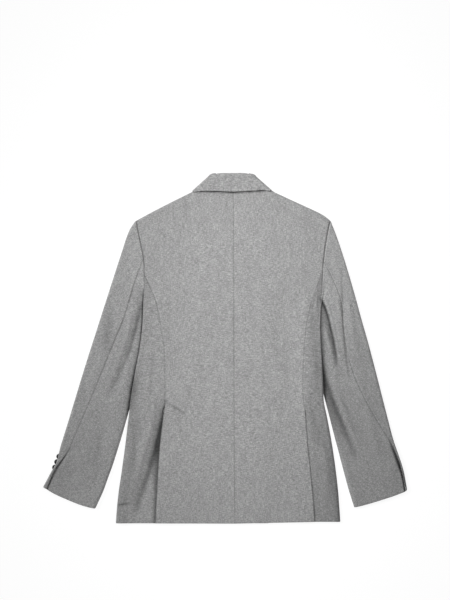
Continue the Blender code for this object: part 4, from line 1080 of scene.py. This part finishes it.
def run_length(grid, axis):
    """Distance in mm from the first point of each run along the axis."""
    chord = np.linalg.norm(np.diff(grid, axis=axis), axis=-1)
    start = np.zeros_like(chord.take([0], axis=axis))
    return np.concatenate([start, np.cumsum(chord, axis=axis)], axis=axis)


def normals(grid):
    """Unit normals at the grid's points."""
    return unit(np.cross(np.gradient(grid, axis=0), np.gradient(grid, axis=1)))


def fine_cloth(coarse, edges, step, lowest, creased=True, shading=None):
    """Middle surface of a piece, fine, with its edges pressed in and its creases laid on.

    edges: kind of edge, or a function of the points' y that gives its depth, half width and
    darkness of painted shade, or None, for the first row, last row, first column and last column.
    step: distance between points; lowest: no point goes below this height; shading: function
    of x and y that gives more painted shade. Returns the points, how far each is pressed in and
    how much painted shade it has.
    """
    rows = np.linalg.norm(np.diff(coarse, axis=0), axis=-1).sum(0).max()
    columns = np.linalg.norm(np.diff(coarse, axis=1), axis=-1).sum(1).max()
    grid = resample(coarse, places(rows, step), 0)
    grid = resample(grid, places(columns, step), 1)
    normal = normals(grid)
    down, across = run_length(grid, 0), run_length(grid, 1)
    away = (down, down[-1:] - down, across, across[:, -1:] - across)
    sink, shade = np.zeros(grid.shape[:2]), np.zeros(grid.shape[:2])
    for kind, distance in zip(edges, away):
        if kind is None:
            continue
        deep, half, dark = kind(grid[..., 1]) if callable(kind) else EDGE_FORM[kind]
        sink += deep * np.exp(-(distance / half)**2)
        shade += dark * np.exp(-(distance / SHADE_HALF)**2)
    if creased:
        x, y = grid[..., 0], grid[..., 1]
        z = grid[..., 2].copy()
        flat = fade_in(np.abs(normal[..., 2]), *CREASE_FLAT)
        up = flat * fade_in(z, *CREASE_UPPER)
        rise, dark = crease_form(x, y)
        grid[..., 2] = np.maximum(z + (rise + uneven_z(x, y)) * up, np.minimum(z, LOWEST_TOP))
        shade += dark * flat * fade_in(z, *DARK_UPPER)
    if shading:
        shade += shading(grid[..., 0], grid[..., 1])
    grid[..., 2] = np.maximum(grid[..., 2], lowest)
    return grid, sink, np.clip(shade, *SHADE_LIMITS)


def wall(grid, sink, shown, thickness):
    """Vertices (mm) and faces of a closed wall with rounded rims round a fine middle surface.

    sink: how far each point's outer face is pressed in; shown: share of the rows and columns of
    a point, and whether the outer face there looks up, +1, or down, -1.
    """
    normal = normals(grid)
    row, column = (int(shown[k] * (grid.shape[k] - 1)) for k in (0, 1))
    normal *= np.sign(normal[row, column, 2]) * shown[2]
    half = thickness / 2
    outer = grid + normal * (half - sink[..., None])
    inner = grid - normal * (half + INNER_SINK * sink[..., None])
    rows, columns = grid.shape[:2]
    rim = [(0, j) for j in range(columns)] + [(i, columns - 1) for i in range(1, rows)]
    rim += [(rows - 1, j) for j in range(columns - 2, -1, -1)]
    rim += [(i, 0) for i in range(rows - 2, 0, -1)]
    index = np.array(rim)
    before, after = np.roll(index, 1, 0), np.roll(index, -1, 0)
    run = unit(grid[after[:, 0], after[:, 1]] - grid[before[:, 0], before[:, 1]])
    here = grid[index[:, 0], index[:, 1]]
    inside = grid[np.clip(index[:, 0], 1, rows - 2), np.clip(index[:, 1], 1, columns - 2)]
    out = unit(np.cross(run, normal[index[:, 0], index[:, 1]]))
    out *= np.sign(np.sum(out * (here - inside), -1, keepdims=True) + 1e-12)
    middle = (outer[index[:, 0], index[:, 1]] + inner[index[:, 0], index[:, 1]]) / 2
    bulge = middle + out * RIM_BULGE * thickness
    vertices = np.concatenate([outer.reshape(-1, 3), inner.reshape(-1, 3), bulge])
    count = rows * columns
    i, j = np.meshgrid(np.arange(rows - 1), np.arange(columns - 1), indexing="ij")
    a = (i * columns + j).ravel()
    top = np.stack([a, a + 1, a + columns + 1, a + columns], 1)
    bottom = top[:, ::-1] + count
    ring = index[:, 0] * columns + index[:, 1]
    ring2 = np.roll(ring, -1)
    mid = 2 * count + np.arange(len(ring))
    mid2 = np.roll(mid, -1)
    sides = np.concatenate([np.stack([ring2, ring, mid, mid2], 1),
                            np.stack([mid2, mid, ring + count, ring2 + count], 1)])
    return vertices, np.concatenate([top, bottom, sides]), index


def new_object(name, vertices, faces, materials, smooth_angle=60):
    """Object from vertices in mm, smooth up to this angle in degrees, in the scene."""
    mesh = bpy.data.meshes.new(name)
    faces = faces.tolist() if isinstance(faces, np.ndarray) else faces
    mesh.from_pydata((np.asarray(vertices) * MM).tolist(), [], faces)
    bm = bmesh.new()
    bm.from_mesh(mesh)
    bmesh.ops.recalc_face_normals(bm, faces=bm.faces)
    bm.to_mesh(mesh)
    bm.free()
    mesh.shade_smooth()
    mesh.set_sharp_from_angle(angle=np.radians(smooth_angle))
    for material in materials:
        mesh.materials.append(material)
    obj = bpy.data.objects.new(name, mesh)
    bpy.context.scene.collection.objects.link(obj)
    return obj


def flat_cut(grid):
    """Width, length and area in m and m2 of the cut that this surface is made from."""
    width = np.linalg.norm(np.diff(grid, axis=1), axis=-1).sum(1).max() * MM
    length = np.linalg.norm(np.diff(grid, axis=0), axis=-1).sum(0).max() * MM
    a, b = np.diff(grid, axis=0)[:, :-1], np.diff(grid, axis=1)[:-1]
    area = np.linalg.norm(np.cross(a, b), axis=-1).sum() * MM * MM
    return width, length, area


def sew(node, coarse, edges, shown, turn=0.0, creased=True, shading=None,
        finer=1.0):
    """Builds one cloth piece in the place of its node.
    """
    cloth = bpy.context.scene.blazer_cloth
    step = finer * cloth.point_step / MM
    thickness = cloth.thickness / MM
    grid, sink, shade = fine_cloth(coarse, edges, step, thickness / 2, creased, shading)
    vertices, faces, rim = wall(grid, sink, shown, thickness)
    obj = new_object(f"{node}_cloth", vertices, faces, [flannel(f"{node}_flannel", turn)])
    # Painted shade and shadow of seams, creases and overlapping edges, kept on the points for the
    # cloth's colour.
    dark = np.concatenate([shade.ravel(), shade.ravel(), shade[rim[:, 0], rim[:, 1]]])
    obj.data.attributes.new("seam_shade", "FLOAT", "POINT").data.foreach_set("value", dark)
    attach(obj, "root")
    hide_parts(node)
    width, length, area = flat_cut(grid)
    return obj


# ---------------------------------------------------------------- finishes
# How far each noise of the wool moves its colour from the dark fibre to the light one.
WARP_MIX, WEFT_MIX, FLECK_MIX, CLOUD_MIX = 0.9, 1.3, 1.0, 0.26
FLECK_SHAPE = (1.5, 1.9)            # a fleck's width and length, in widths of a fibre bundle
CLOUD_WIDTH, CLOUD_LENGTH = 12.0, 22.0          # of the slow mottling, mm
TWILL_RELIEF, WARP_RELIEF = 0.35, 0.5           # against the flecks' relief, which is 1
NAP_DEPTH = 0.4                                 # of the brushed relief, mm
SWIRL_SCALE = 220.0                             # of the buttons' resin, per metre
RESIN_SHADES = ((0.35, 0.7), (0.7, 1.6))        # places in the swirl, and factors of the colour
RESIN_ROUGHNESS = (0.5, 0.62)
THREAD_SHADES = ((0.03, 0.03, 0.033), (0.09, 0.09, 0.095))
PLY_SCALE = 900.0                               # of the thread's twist, per metre


def add_node(tree, kind, inputs=(), **settings):
    """A shader node with its settings, its inputs set to values or joined to sockets."""
    node = tree.nodes.new(kind)
    for key, value in settings.items():
        setattr(node, key, value)
    for key, value in dict(inputs).items():
        socket = node.inputs[key]
        if isinstance(value, bpy.types.NodeSocket):
            tree.links.new(value, socket)
        else:
            socket.default_value = value
    return node


def combine(tree, operation, first, second):
    """Output of a node that does this sum with two values or sockets."""
    return add_node(tree, "ShaderNodeMath", {0: first, 1: second}, operation=operation).outputs[0]


def new_material(name):
    """A material with its node tree, its shader and the object's own coordinates."""
    material = bpy.data.materials.new(name)
    material.use_nodes = True
    tree = material.node_tree
    place = add_node(tree, "ShaderNodeTexCoord").outputs["Object"]
    return material, tree, tree.nodes["Principled BSDF"], place


def flannel(name, turn):
    """Brushed wool of mixed light and dark fibres over a fine twill, turned with the piece."""
    cloth = bpy.context.scene.blazer_cloth
    material, tree, shader, place = new_material(name)
    grain = add_node(tree, "ShaderNodeMapping", {
        "Vector": place, "Rotation": (0, 0, -turn), "Scale": (1 / MM,) * 3}).outputs[0]

    def fibres(across, run, detail, rough, seed):
        stretched = add_node(tree, "ShaderNodeMapping", {
            "Vector": grain, "Location": (seed, seed / 2, 0),
            "Scale": (1 / across, 1 / run, 1 / across)}).outputs[0]
        return add_node(tree, "ShaderNodeTexNoise", {
            "Vector": stretched, "Scale": 1.0, "Detail": detail, "Roughness": rough},
            ).outputs["Fac"]

    def spread(noise, amount):
        return combine(tree, "MULTIPLY", combine(tree, "SUBTRACT", noise, 0.5), amount)

    warp = fibres(cloth.fibre_width / MM, cloth.fibre_length / MM, 3.0, 0.6, 11.0)
    weft = fibres(cloth.fibre_length / MM, cloth.fibre_width / MM, 3.0, 0.6, 37.0)
    fleck_width, fleck_length = (share * cloth.fibre_width / MM for share in FLECK_SHAPE)
    flecks = fibres(fleck_width, fleck_length, 4.0, 0.7, 71.0)
    cloud = fibres(CLOUD_WIDTH, CLOUD_LENGTH, 4.0, 0.6, 5.0)
    mix = combine(tree, "ADD", spread(warp, WARP_MIX), spread(weft, WEFT_MIX))
    mix = combine(tree, "ADD", mix, spread(flecks, FLECK_MIX))
    mix = combine(tree, "ADD", mix, spread(cloud, CLOUD_MIX))
    colour = add_node(tree, "ShaderNodeValToRGB", {"Fac": combine(tree, "ADD", mix, 0.5)})
    ramp = colour.color_ramp
    ramp.elements[0].position, ramp.elements[0].color = 0.0, (*cloth.dark_fibre, 1)
    ramp.elements[1].position, ramp.elements[1].color = 1.0, (*cloth.light_fibre, 1)
    middle = ramp.elements.new(0.5)
    middle.color = (*cloth.colour, 1)
    # Painted shade: the colour is scaled by 1 minus the points' painted shade, so where that is
    # below 0 it is painted light.
    painted_darkness = add_node(tree, "ShaderNodeAttribute", attribute_name="seam_shade").outputs["Fac"]
    shaded = add_node(tree, "ShaderNodeVectorMath", {
        0: colour.outputs["Color"], "Scale": combine(tree, "SUBTRACT", 1.0, painted_darkness)},
        operation="SCALE")
    tree.links.new(shaded.outputs["Vector"], shader.inputs["Base Color"])

    twill = add_node(tree, "ShaderNodeTexWave", {
        "Vector": grain, "Scale": cloth.twill_scale, "Distortion": 1.6, "Detail": 2.0,
        "Detail Scale": 1.2}, bands_direction="DIAGONAL").outputs["Fac"]
    relief = combine(tree, "ADD", combine(tree, "MULTIPLY", twill, TWILL_RELIEF), flecks)
    relief = combine(tree, "ADD", relief, combine(tree, "MULTIPLY", warp, WARP_RELIEF))
    bump = add_node(tree, "ShaderNodeBump", {
        "Strength": cloth.nap, "Distance": NAP_DEPTH * MM, "Height": relief})
    tree.links.new(bump.outputs["Normal"], shader.inputs["Normal"])
    shader.inputs["Roughness"].default_value = 0.92
    shader.inputs["Specular IOR Level"].default_value = 0.2
    shader.inputs["Sheen Weight"].default_value = 0.25
    shader.inputs["Sheen Roughness"].default_value = 0.6
    return material


def resin(name):
    """Dark moulded resin with a faint swirl."""
    buttons = bpy.context.scene.blazer_buttons
    material, tree, shader, place = new_material(name)
    swirl = add_node(tree, "ShaderNodeTexNoise", {
        "Vector": place, "Scale": SWIRL_SCALE, "Detail": 4.0, "Roughness": 0.6,
        "Distortion": 1.4})
    colour = add_node(tree, "ShaderNodeValToRGB", {"Fac": swirl.outputs["Fac"]})
    for element, (place, factor) in zip(colour.color_ramp.elements, RESIN_SHADES):
        element.position = place
        element.color = (*(np.array(buttons.colour) * factor), 1)
    tree.links.new(colour.outputs["Color"], shader.inputs["Base Color"])
    rough = add_node(tree, "ShaderNodeMapRange", {
        "Value": swirl.outputs["Fac"], "To Min": RESIN_ROUGHNESS[0],
        "To Max": RESIN_ROUGHNESS[1]})
    tree.links.new(rough.outputs["Result"], shader.inputs["Roughness"])
    return material


def thread(name):
    """Dark twisted thread."""
    material, tree, shader, place = new_material(name)
    ply = add_node(tree, "ShaderNodeTexWave", {"Vector": place, "Scale": PLY_SCALE})
    colour = add_node(tree, "ShaderNodeValToRGB", {"Fac": ply.outputs["Fac"]})
    for element, shade in zip(colour.color_ramp.elements, THREAD_SHADES):
        element.color = (*shade, 1)
    tree.links.new(colour.outputs["Color"], shader.inputs["Base Color"])
    shader.inputs["Roughness"].default_value = 0.7
    return material


# ---------------------------------------------------------------- edges that change along the run
# Lengths in mm over which an edge changes: at a vent's top, at the underarm, at a cuff slit.
LOOSE_RUN, CORNER_RUN, SLIT_RUN = 18, 16, 14


# An edge form is its depth, its half width and the darkness of the painted shade along it.
def blend(first, second, share):
    """Edge form between two others, by a share from 0 to 1."""
    return tuple(a + (b - a) * share for a, b in zip(first, second))


def seam_then_free(side):
    """Form along an edge that is sewn down to the vent and loose below it."""
    def form(y):
        deep, half, _ = EDGE_FORM["side seam"]
        sewn = (deep, half, at_height(SEAM_SHADE[side], y))
        loose = (*EDGE_FORM["free"][:2], FREE_SHADE[side])
        return blend(sewn, loose, ease((VENT_TOP_Y[side] + LOOSE_RUN / 3 - y) / LOOSE_RUN))
    return form


def armhole_then_side(side):
    """The armhole's form, and from the underarm down the side seam's."""
    def form(y):
        low = ease((seam_top_y(side) + CORNER_RUN / 2 - y) / CORNER_RUN)
        return blend(EDGE_FORM["armhole"], seam_then_free(side)(y), low)
    return form


def cuff_slit_form(side):
    """The hind seam down to the cuff slit, whose edges are free."""
    def form(y):
        loose = ease((SLEEVE[side][CUFF_SECTION][3] - y) / SLIT_RUN)
        deep, half, _ = EDGE_FORM["hind seam"]
        return blend((deep, half, at_height(HIND_SHADE[side], y)), EDGE_FORM["free"], loose)
    return form


# ---------------------------------------------------------------- buttons
# Face of a button from the middle out; columns: share of the radius, depth as a share of the
# thickness. Then its edge and back, as rings; columns: share of the radius, level.
BUTTON_FACE = ((0, 0.30), (0.6, 0.30), (0.74, 0.03), (0.86, 0.0), (0.95, 0.08), (1.0, 0.38))
BUTTON_BACK = ((1.0, 0.72), (0.96, 0.92), (0.86, 1.0), (0.05, 1.0))
HOLE_REACH = 0.24          # of the holes from the middle, each way, as a share of the radius
HOLE_DEPTH = 0.55          # share of the thickness
STRAND_LEVEL, STRAND_RADIUS = 0.24, 0.2     # shares of the thickness and of the hole's radius
STRAND_OFF = (-0.28, 0.0, 0.28)             # three strands beside each other in a hole
STRAND_SIDES = 8


def add_button(node, centre, radius, thick):
    """A rimmed disc, face down, with four holes, and the thread that crosses them."""
    settings = bpy.context.scene.blazer_buttons
    count = settings.segments
    hole = settings.hole_radius / MM * (radius / BUTTON_RADIUS)**0.6
    reach = HOLE_REACH * radius
    shares = np.concatenate([np.linspace(0.03, 0.6, 20), np.linspace(0.64, 1.0, 12)])
    face = spline(BUTTON_FACE, shares)
    turn = np.linspace(0, 2 * np.pi, count, endpoint=False)
    x = shares[:, None] * np.cos(turn) * radius
    y = shares[:, None] * np.sin(turn) * radius
    z = np.tile(face[:, None] * thick, (1, count))
    for hx in (-reach, reach):
        for hy in (-reach, reach):
            z += HOLE_DEPTH * thick * (1 - ease((np.hypot(x - hx, y - hy) / hole - 0.75) / 0.35))
    rings = [np.stack([x, y, z], -1).reshape(-1, 3)]
    for share, level in BUTTON_BACK:
        ring = np.stack([share * radius * np.cos(turn), share * radius * np.sin(turn),
                         np.full(count, level * thick)], -1)
        rings.append(ring)
    vertices = np.concatenate(rings) + (*centre, 0)
    total = len(vertices) // count
    faces = [tuple(range(count - 1, -1, -1)), tuple(range((total - 1) * count, total * count))]
    for ring in range(total - 1):
        for k in range(count):
            a, b = ring * count + k, ring * count + (k + 1) % count
            faces.append((a, b, b + count, a + count))
    disc = new_object(f"{node}_resin", vertices, faces, [resin(f"{node}_resin")], 50)
    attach(disc, "root")
    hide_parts(node)
    strands, strand_faces = [], []
    for start, end in (((-1, -1), (1, 1)), ((-1, 1), (1, -1))):
        for off in STRAND_OFF:
            add_strand(strands, strand_faces, np.array(start) * reach, np.array(end) * reach,
                       off * hole, STRAND_LEVEL * thick, STRAND_RADIUS * hole)
    stitch = new_object(f"{node}_thread", np.concatenate(strands) + (*centre, 0), strand_faces,
                        [thread(f"{node}_thread")], 80)
    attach(stitch, "root")


def add_strand(strands, faces, start, end, off, level, radius):
    """One strand of thread over the button's sunk face, from hole to hole."""
    run = unit(end - start)
    beside = np.array([-run[1], run[0]])
    at = np.linspace(0, 1, 11)
    dip = 0.9 * (np.abs(2 * at - 1)**4)
    centre = np.stack([*(start[:, None] + (end - start)[:, None] * at + beside[:, None] * off),
                       level + dip], -1)
    turn = np.linspace(0, 2 * np.pi, STRAND_SIDES, endpoint=False)
    ring = (np.cos(turn)[None, :, None] * np.array([*beside, 0.0])
            + np.sin(turn)[None, :, None] * np.array([0, 0, 1.0])) * radius
    first = sum(len(s) for s in strands)
    strands.append((centre[:, None] + ring).reshape(-1, 3))
    for i in range(len(at) - 1):
        for k in range(STRAND_SIDES):
            a, b = (first + i * STRAND_SIDES + j for j in (k, (k + 1) % STRAND_SIDES))
            faces.append((a, b, b + STRAND_SIDES, a + STRAND_SIDES))
    last = first + (len(at) - 1) * STRAND_SIDES
    faces.append(tuple(first + k for k in range(STRAND_SIDES - 1, -1, -1)))
    faces.append(tuple(last + k for k in range(STRAND_SIDES)))


# ---------------------------------------------------------------- stage
# Camera and lights, in metres. Columns of LIGHTS: name, place, aim, size of an area light or
# angle in radians of a far one, which power.
VIEW_CENTRE = (-0.0191, 0.1018)
SENSOR_WIDTH = 36.0                      # mm
LIGHTS = (
    ("strip_light", (0.0, 0.0, 0.5), (0.0, 0.001, 0.0), (1.2, 0.15), "strip_power"),
    ("upper_light", (0.0, 0.35, 0.5), (0.0, 0.351, 0.0), (0.3, 0.3), "upper_power"),
    ("lower_light", (0.0, -0.3, 0.5), (0.0, -0.301, 0.0), (0.3, 0.3), "lower_power"),
    ("window_light", (-1.9, 0.9, 1.1), (0.0, 0.0, 0.0), (0.3,), "window_power"),
)
FLOOR_HALF, FLOOR_LEVEL = 4000.0, -0.25  # mm
FLOOR_CELLS = 8
FLOOR_GLOW = 0.9


def floor_paper(stage):
    """Pale paper that gives out light, so that it renders white."""
    material, tree, shader, place = new_material("floor_paper")
    tooth = add_node(tree, "ShaderNodeTexNoise", {"Vector": place, "Scale": 300.0, "Detail": 3.0})
    bump = add_node(tree, "ShaderNodeBump", {
        "Strength": 0.05, "Distance": 0.1 * MM, "Height": tooth.outputs["Fac"]})
    tree.links.new(bump.outputs["Normal"], shader.inputs["Normal"])
    shader.inputs["Base Color"].default_value = (*stage.floor_colour, 1)
    shader.inputs["Roughness"].default_value = 0.95
    shader.inputs["Specular IOR Level"].default_value = 0.1
    shader.inputs["Emission Color"].default_value = (1, 1, 1, 1)
    shader.inputs["Emission Strength"].default_value = FLOOR_GLOW
    return material


# ---------------------------------------------------------------- settings
class BlazerCloth(bpy.types.PropertyGroup):
    thickness: FloatProperty(name="Thickness", description="Thickness of the flannel",
                             default=1.3 * MM, unit="LENGTH", precision=5)
    point_step: FloatProperty(name="Point step", description="Distance between mesh points",
                              default=3.0 * MM, unit="LENGTH", precision=5)
    colour: FloatVectorProperty(name="Mixed grey", description="Mean colour of the wool",
                                default=(0.3, 0.3, 0.3), subtype="COLOR", size=3)
    dark_fibre: FloatVectorProperty(name="Dark fibre", description="Darkest fibres of the mix",
                                    default=(0.112, 0.112, 0.114), subtype="COLOR", size=3)
    light_fibre: FloatVectorProperty(name="Light fibre", description="Lightest fibres of the mix",
                                     default=(0.6, 0.6, 0.595), subtype="COLOR", size=3)
    fibre_width: FloatProperty(name="Fibre width", description="Width of a bundle of fibres",
                               default=0.9 * MM, unit="LENGTH", precision=5)
    fibre_length: FloatProperty(name="Fibre length", description="Length of a bundle of fibres",
                                default=6.5 * MM, unit="LENGTH", precision=5)
    twill_scale: FloatProperty(name="Twill lines", description="Twill lines per millimetre, about",
                               default=0.16)
    nap: FloatProperty(name="Nap", description="Strength of the brushed relief", default=0.5,
                       subtype="FACTOR")


class BlazerButtons(bpy.types.PropertyGroup):
    colour: FloatVectorProperty(name="Resin", description="Colour of the button resin",
                                default=(0.012, 0.012, 0.013), subtype="COLOR", size=3)
    hole_radius: FloatProperty(name="Hole", description="Radius of a thread hole",
                               default=0.9 * MM, unit="LENGTH", precision=5)
    segments: IntProperty(name="Segments", description="Points round a button", default=64)


class BlazerStage(bpy.types.PropertyGroup):
    lens: FloatProperty(name="Lens", description="Focal length of the camera in mm", default=100.0)
    view_height: FloatProperty(name="View height", description="Height that the camera sees",
                               default=1.272, unit="LENGTH")
    floor_colour: FloatVectorProperty(name="Floor", description="Colour of the floor",
                                      default=(0.15, 0.15, 0.15), subtype="COLOR", size=3)
    strip_power: FloatProperty(name="Strip light", description="Power of the long light above",
                               default=1.0, unit="POWER")
    upper_power: FloatProperty(name="Upper light", description="Power of the light over the back",
                               default=1.85, unit="POWER")
    lower_power: FloatProperty(name="Lower light", description="Power of the light over the hem",
                               default=0.96, unit="POWER")
    window_power: FloatProperty(name="Window light", description="Strength of the far side light",
                                default=2.0)
    sky: FloatProperty(name="Sky", description="Strength of the light from all round",
                       default=0.05)


# ---------------------------------------------------------------- operators
class BLAZER_OT_back(bpy.types.Operator):
    """Both halves of the back, joined at the centre seam, with the loose vent edges"""
    bl_idname = "blazer.back"
    bl_label = "Back"

    def execute(self, context):
        for side in (LEFT, RIGHT):
            sew(f"back_{SIDE_NAME[side]}", back_panel(side),
                ("shoulder", "folded", "centre seam", armhole_then_side(side)),
                shown=(0.5, 0.5, 1),
                shading=under_collar)
        return {"FINISHED"}


class BLAZER_OT_side_panels(bpy.types.Operator):
    """Side panels, from the back seam round the body's side to the front seam"""
    bl_idname = "blazer.side_panels"
    bl_label = "Side panels"

    def execute(self, context):
        for side in (LEFT, RIGHT):
            word = SIDE_NAME[side]
            sew(f"side_{word}", side_panel(side),
                ("armhole", "folded", seam_then_free(side), "side seam"),
                shown=(0.5, 0.04, 1), shading=partial(beside_vent, side))
        return {"FINISHED"}


class BLAZER_OT_fronts(bpy.types.Operator):
    """Both fronts on the underside, lapped over each other"""
    bl_idname = "blazer.fronts"
    bl_label = "Fronts"

    def execute(self, context):
        for side in (LEFT, RIGHT):
            sew(f"front_{SIDE_NAME[side]}", front_panel(side),
                ("shoulder", "folded", "free", "side seam"), shown=(0.5, 0.5, -1),
                creased=False)
        return {"FINISHED"}


class BLAZER_OT_lapels(bpy.types.Operator):
    """Peaked lapels, rolled out of the fronts on the underside"""
    bl_idname = "blazer.lapels"
    bl_label = "Lapels"

    def execute(self, context):
        for side in (LEFT, RIGHT):
            sew(f"lapel_{SIDE_NAME[side]}", lapel_panel(side), (None, None, None, "free"),
                turn=side * np.radians(20), shown=(0.5, 0.8, -1),
                creased=False)
        return {"FINISHED"}


class BLAZER_OT_collar(bpy.types.Operator):
    """The turned-down fall of the collar and the stand under it"""
    bl_idname = "blazer.collar"
    bl_label = "Collar"

    def execute(self, context):
        sew("collar_fall", collar_fall(), (None, None, "leaf", None),
            shown=(0.5, 0.2, 1),
            creased=False, finer=0.4)
        sew("collar_stand", collar_stand(), (None, None, None, None), shown=(0.5, 0.5, -1),
            creased=False)
        return {"FINISHED"}


class BLAZER_OT_sleeves(bpy.types.Operator):
    """Two-piece sleeves with the hind seam and the cuff slit"""
    bl_idname = "blazer.sleeves"
    bl_label = "Sleeves"

    def execute(self, context):
        for side in (LEFT, RIGHT):
            table = SLEEVE[side]
            run = (table[-2][2] - table[0][2], table[-2][3] - table[0][3])
            turn = np.arctan2(-run[1], run[0]) - np.pi / 2
            for part, under in (("top", False), ("under", True)):
                grid = sleeve_parts(side, under)
                if under:
                    grid = tuck_in(side, grid)
                sew(f"sleeve_{part}_{SIDE_NAME[side]}", grid,
                    ("armhole", "folded", cuff_slit_form(side), "side seam"), turn=-turn,
                    shown=(0.4, 0.04, 1),
                    shading=partial(beside_body, side))
        return {"FINISHED"}


class BLAZER_OT_buttons(bpy.types.Operator):
    """Front and cuff buttons with four holes, each held by crossed thread"""
    bl_idname = "blazer.buttons"
    bl_label = "Buttons"

    def execute(self, context):
        for side in (LEFT, RIGHT):
            word = SIDE_NAME[side]
            for number, row in enumerate(BUTTON_ROWS_Y, start=1):
                add_button(f"front_button_{word}_{number}", (side * BUTTON_COLUMN_X, row),
                           BUTTON_RADIUS, BUTTON_THICK)
            first, run = CUFF_BUTTON_FIRST[side], CUFF_BUTTON_RUN[side]
            for number in range(CUFF_BUTTONS):
                centre = [first[k] + run[k] * CUFF_BUTTON_PITCH * number for k in (0, 1)]
                add_button(f"cuff_button_{word}_{number + 1}", centre, CUFF_BUTTON_RADIUS,
                           CUFF_BUTTON_THICK)
        return {"FINISHED"}


class BLAZER_OT_stage(bpy.types.Operator):
    """Pale floor, large soft lights and the camera straight above"""
    bl_idname = "blazer.stage"
    bl_label = "Stage"

    def execute(self, context):
        stage = context.scene.blazer_stage
        scene = context.scene
        line = np.linspace(-FLOOR_HALF, FLOOR_HALF, FLOOR_CELLS + 1)
        x, y = np.meshgrid(line, line)
        vertices = np.stack([x, y, np.full_like(x, FLOOR_LEVEL)], -1).reshape(-1, 3)
        wide = len(line)
        faces = [(j * wide + i, j * wide + i + 1, (j + 1) * wide + i + 1, (j + 1) * wide + i)
                 for j in range(FLOOR_CELLS) for i in range(FLOOR_CELLS)]
        floor = new_object("floor", vertices, faces, [floor_paper(stage)])

        camera = bpy.data.objects.new("camera", bpy.data.cameras.new("camera"))
        camera.data.lens = stage.lens
        camera.data.sensor_width = SENSOR_WIDTH
        distance = stage.lens / SENSOR_WIDTH * stage.view_height
        camera.location = (*VIEW_CENTRE, distance)
        camera.data.clip_end = 20.0
        scene.collection.objects.link(camera)
        scene.camera = camera

        for name, place, aim, size, power in LIGHTS:
            light = bpy.data.lights.new(name, "AREA" if len(size) == 2 else "SUN")
            if light.type == "AREA":
                light.shape = "RECTANGLE"
                light.size, light.size_y = size
            else:
                light.angle = size[0]
            light.energy = getattr(stage, power)
            lamp = bpy.data.objects.new(name, light)
            lamp.location = place
            lamp.rotation_euler = (Vector(aim) - Vector(place)).to_track_quat("-Z", "Y").to_euler()
            lamp.visible_camera = False
            scene.collection.objects.link(lamp)
        world = bpy.data.worlds.new("studio")
        world.use_nodes = True
        background = world.node_tree.nodes["Background"]
        background.inputs["Color"].default_value = (1, 1, 1, 1)
        seen = add_node(world.node_tree, "ShaderNodeLightPath").outputs["Is Camera Ray"]
        strength = add_node(world.node_tree, "ShaderNodeMapRange", {
            "Value": seen, "To Min": stage.sky, "To Max": 1.0}).outputs["Result"]
        world.node_tree.links.new(strength, background.inputs["Strength"])
        scene.world = world
        scene.view_settings.view_transform = "Standard"
        scene.view_settings.look = "None"
        return {"FINISHED"}


class BLAZER_PT_panel(bpy.types.Panel):
    bl_label = "Blazer"
    bl_idname = "BLAZER_PT_panel"
    bl_space_type = "VIEW_3D"
    bl_region_type = "UI"
    bl_category = "Blazer"

    def draw(self, context):
        for group in ("blazer_cloth", "blazer_buttons", "blazer_stage"):
            settings = getattr(context.scene, group)
            box = self.layout.box()
            for name in settings.bl_rna.properties.keys():
                if name not in ("rna_type", "name"):
                    box.prop(settings, name)
        for operator in OPERATORS:
            self.layout.operator(operator.bl_idname)


GROUPS = {"blazer_cloth": BlazerCloth, "blazer_buttons": BlazerButtons, "blazer_stage": BlazerStage}
OPERATORS = (BLAZER_OT_fronts, BLAZER_OT_lapels, BLAZER_OT_back, BLAZER_OT_side_panels,
             BLAZER_OT_sleeves, BLAZER_OT_collar, BLAZER_OT_buttons, BLAZER_OT_stage)


def register():
    for cls in (*GROUPS.values(), *OPERATORS, BLAZER_PT_panel):
        bpy.utils.register_class(cls)
    for name, cls in GROUPS.items():
        setattr(bpy.types.Scene, name, PointerProperty(type=cls))


def unregister():
    for name in GROUPS:
        delattr(bpy.types.Scene, name)
    for cls in (BLAZER_PT_panel, *reversed(OPERATORS), *reversed(GROUPS.values())):
        bpy.utils.unregister_class(cls)


def main():
    register()
    for operator in OPERATORS:
        group, name = operator.bl_idname.split(".")
        getattr(getattr(bpy.ops, group), name)()


if __name__ == "__main__":
    main()
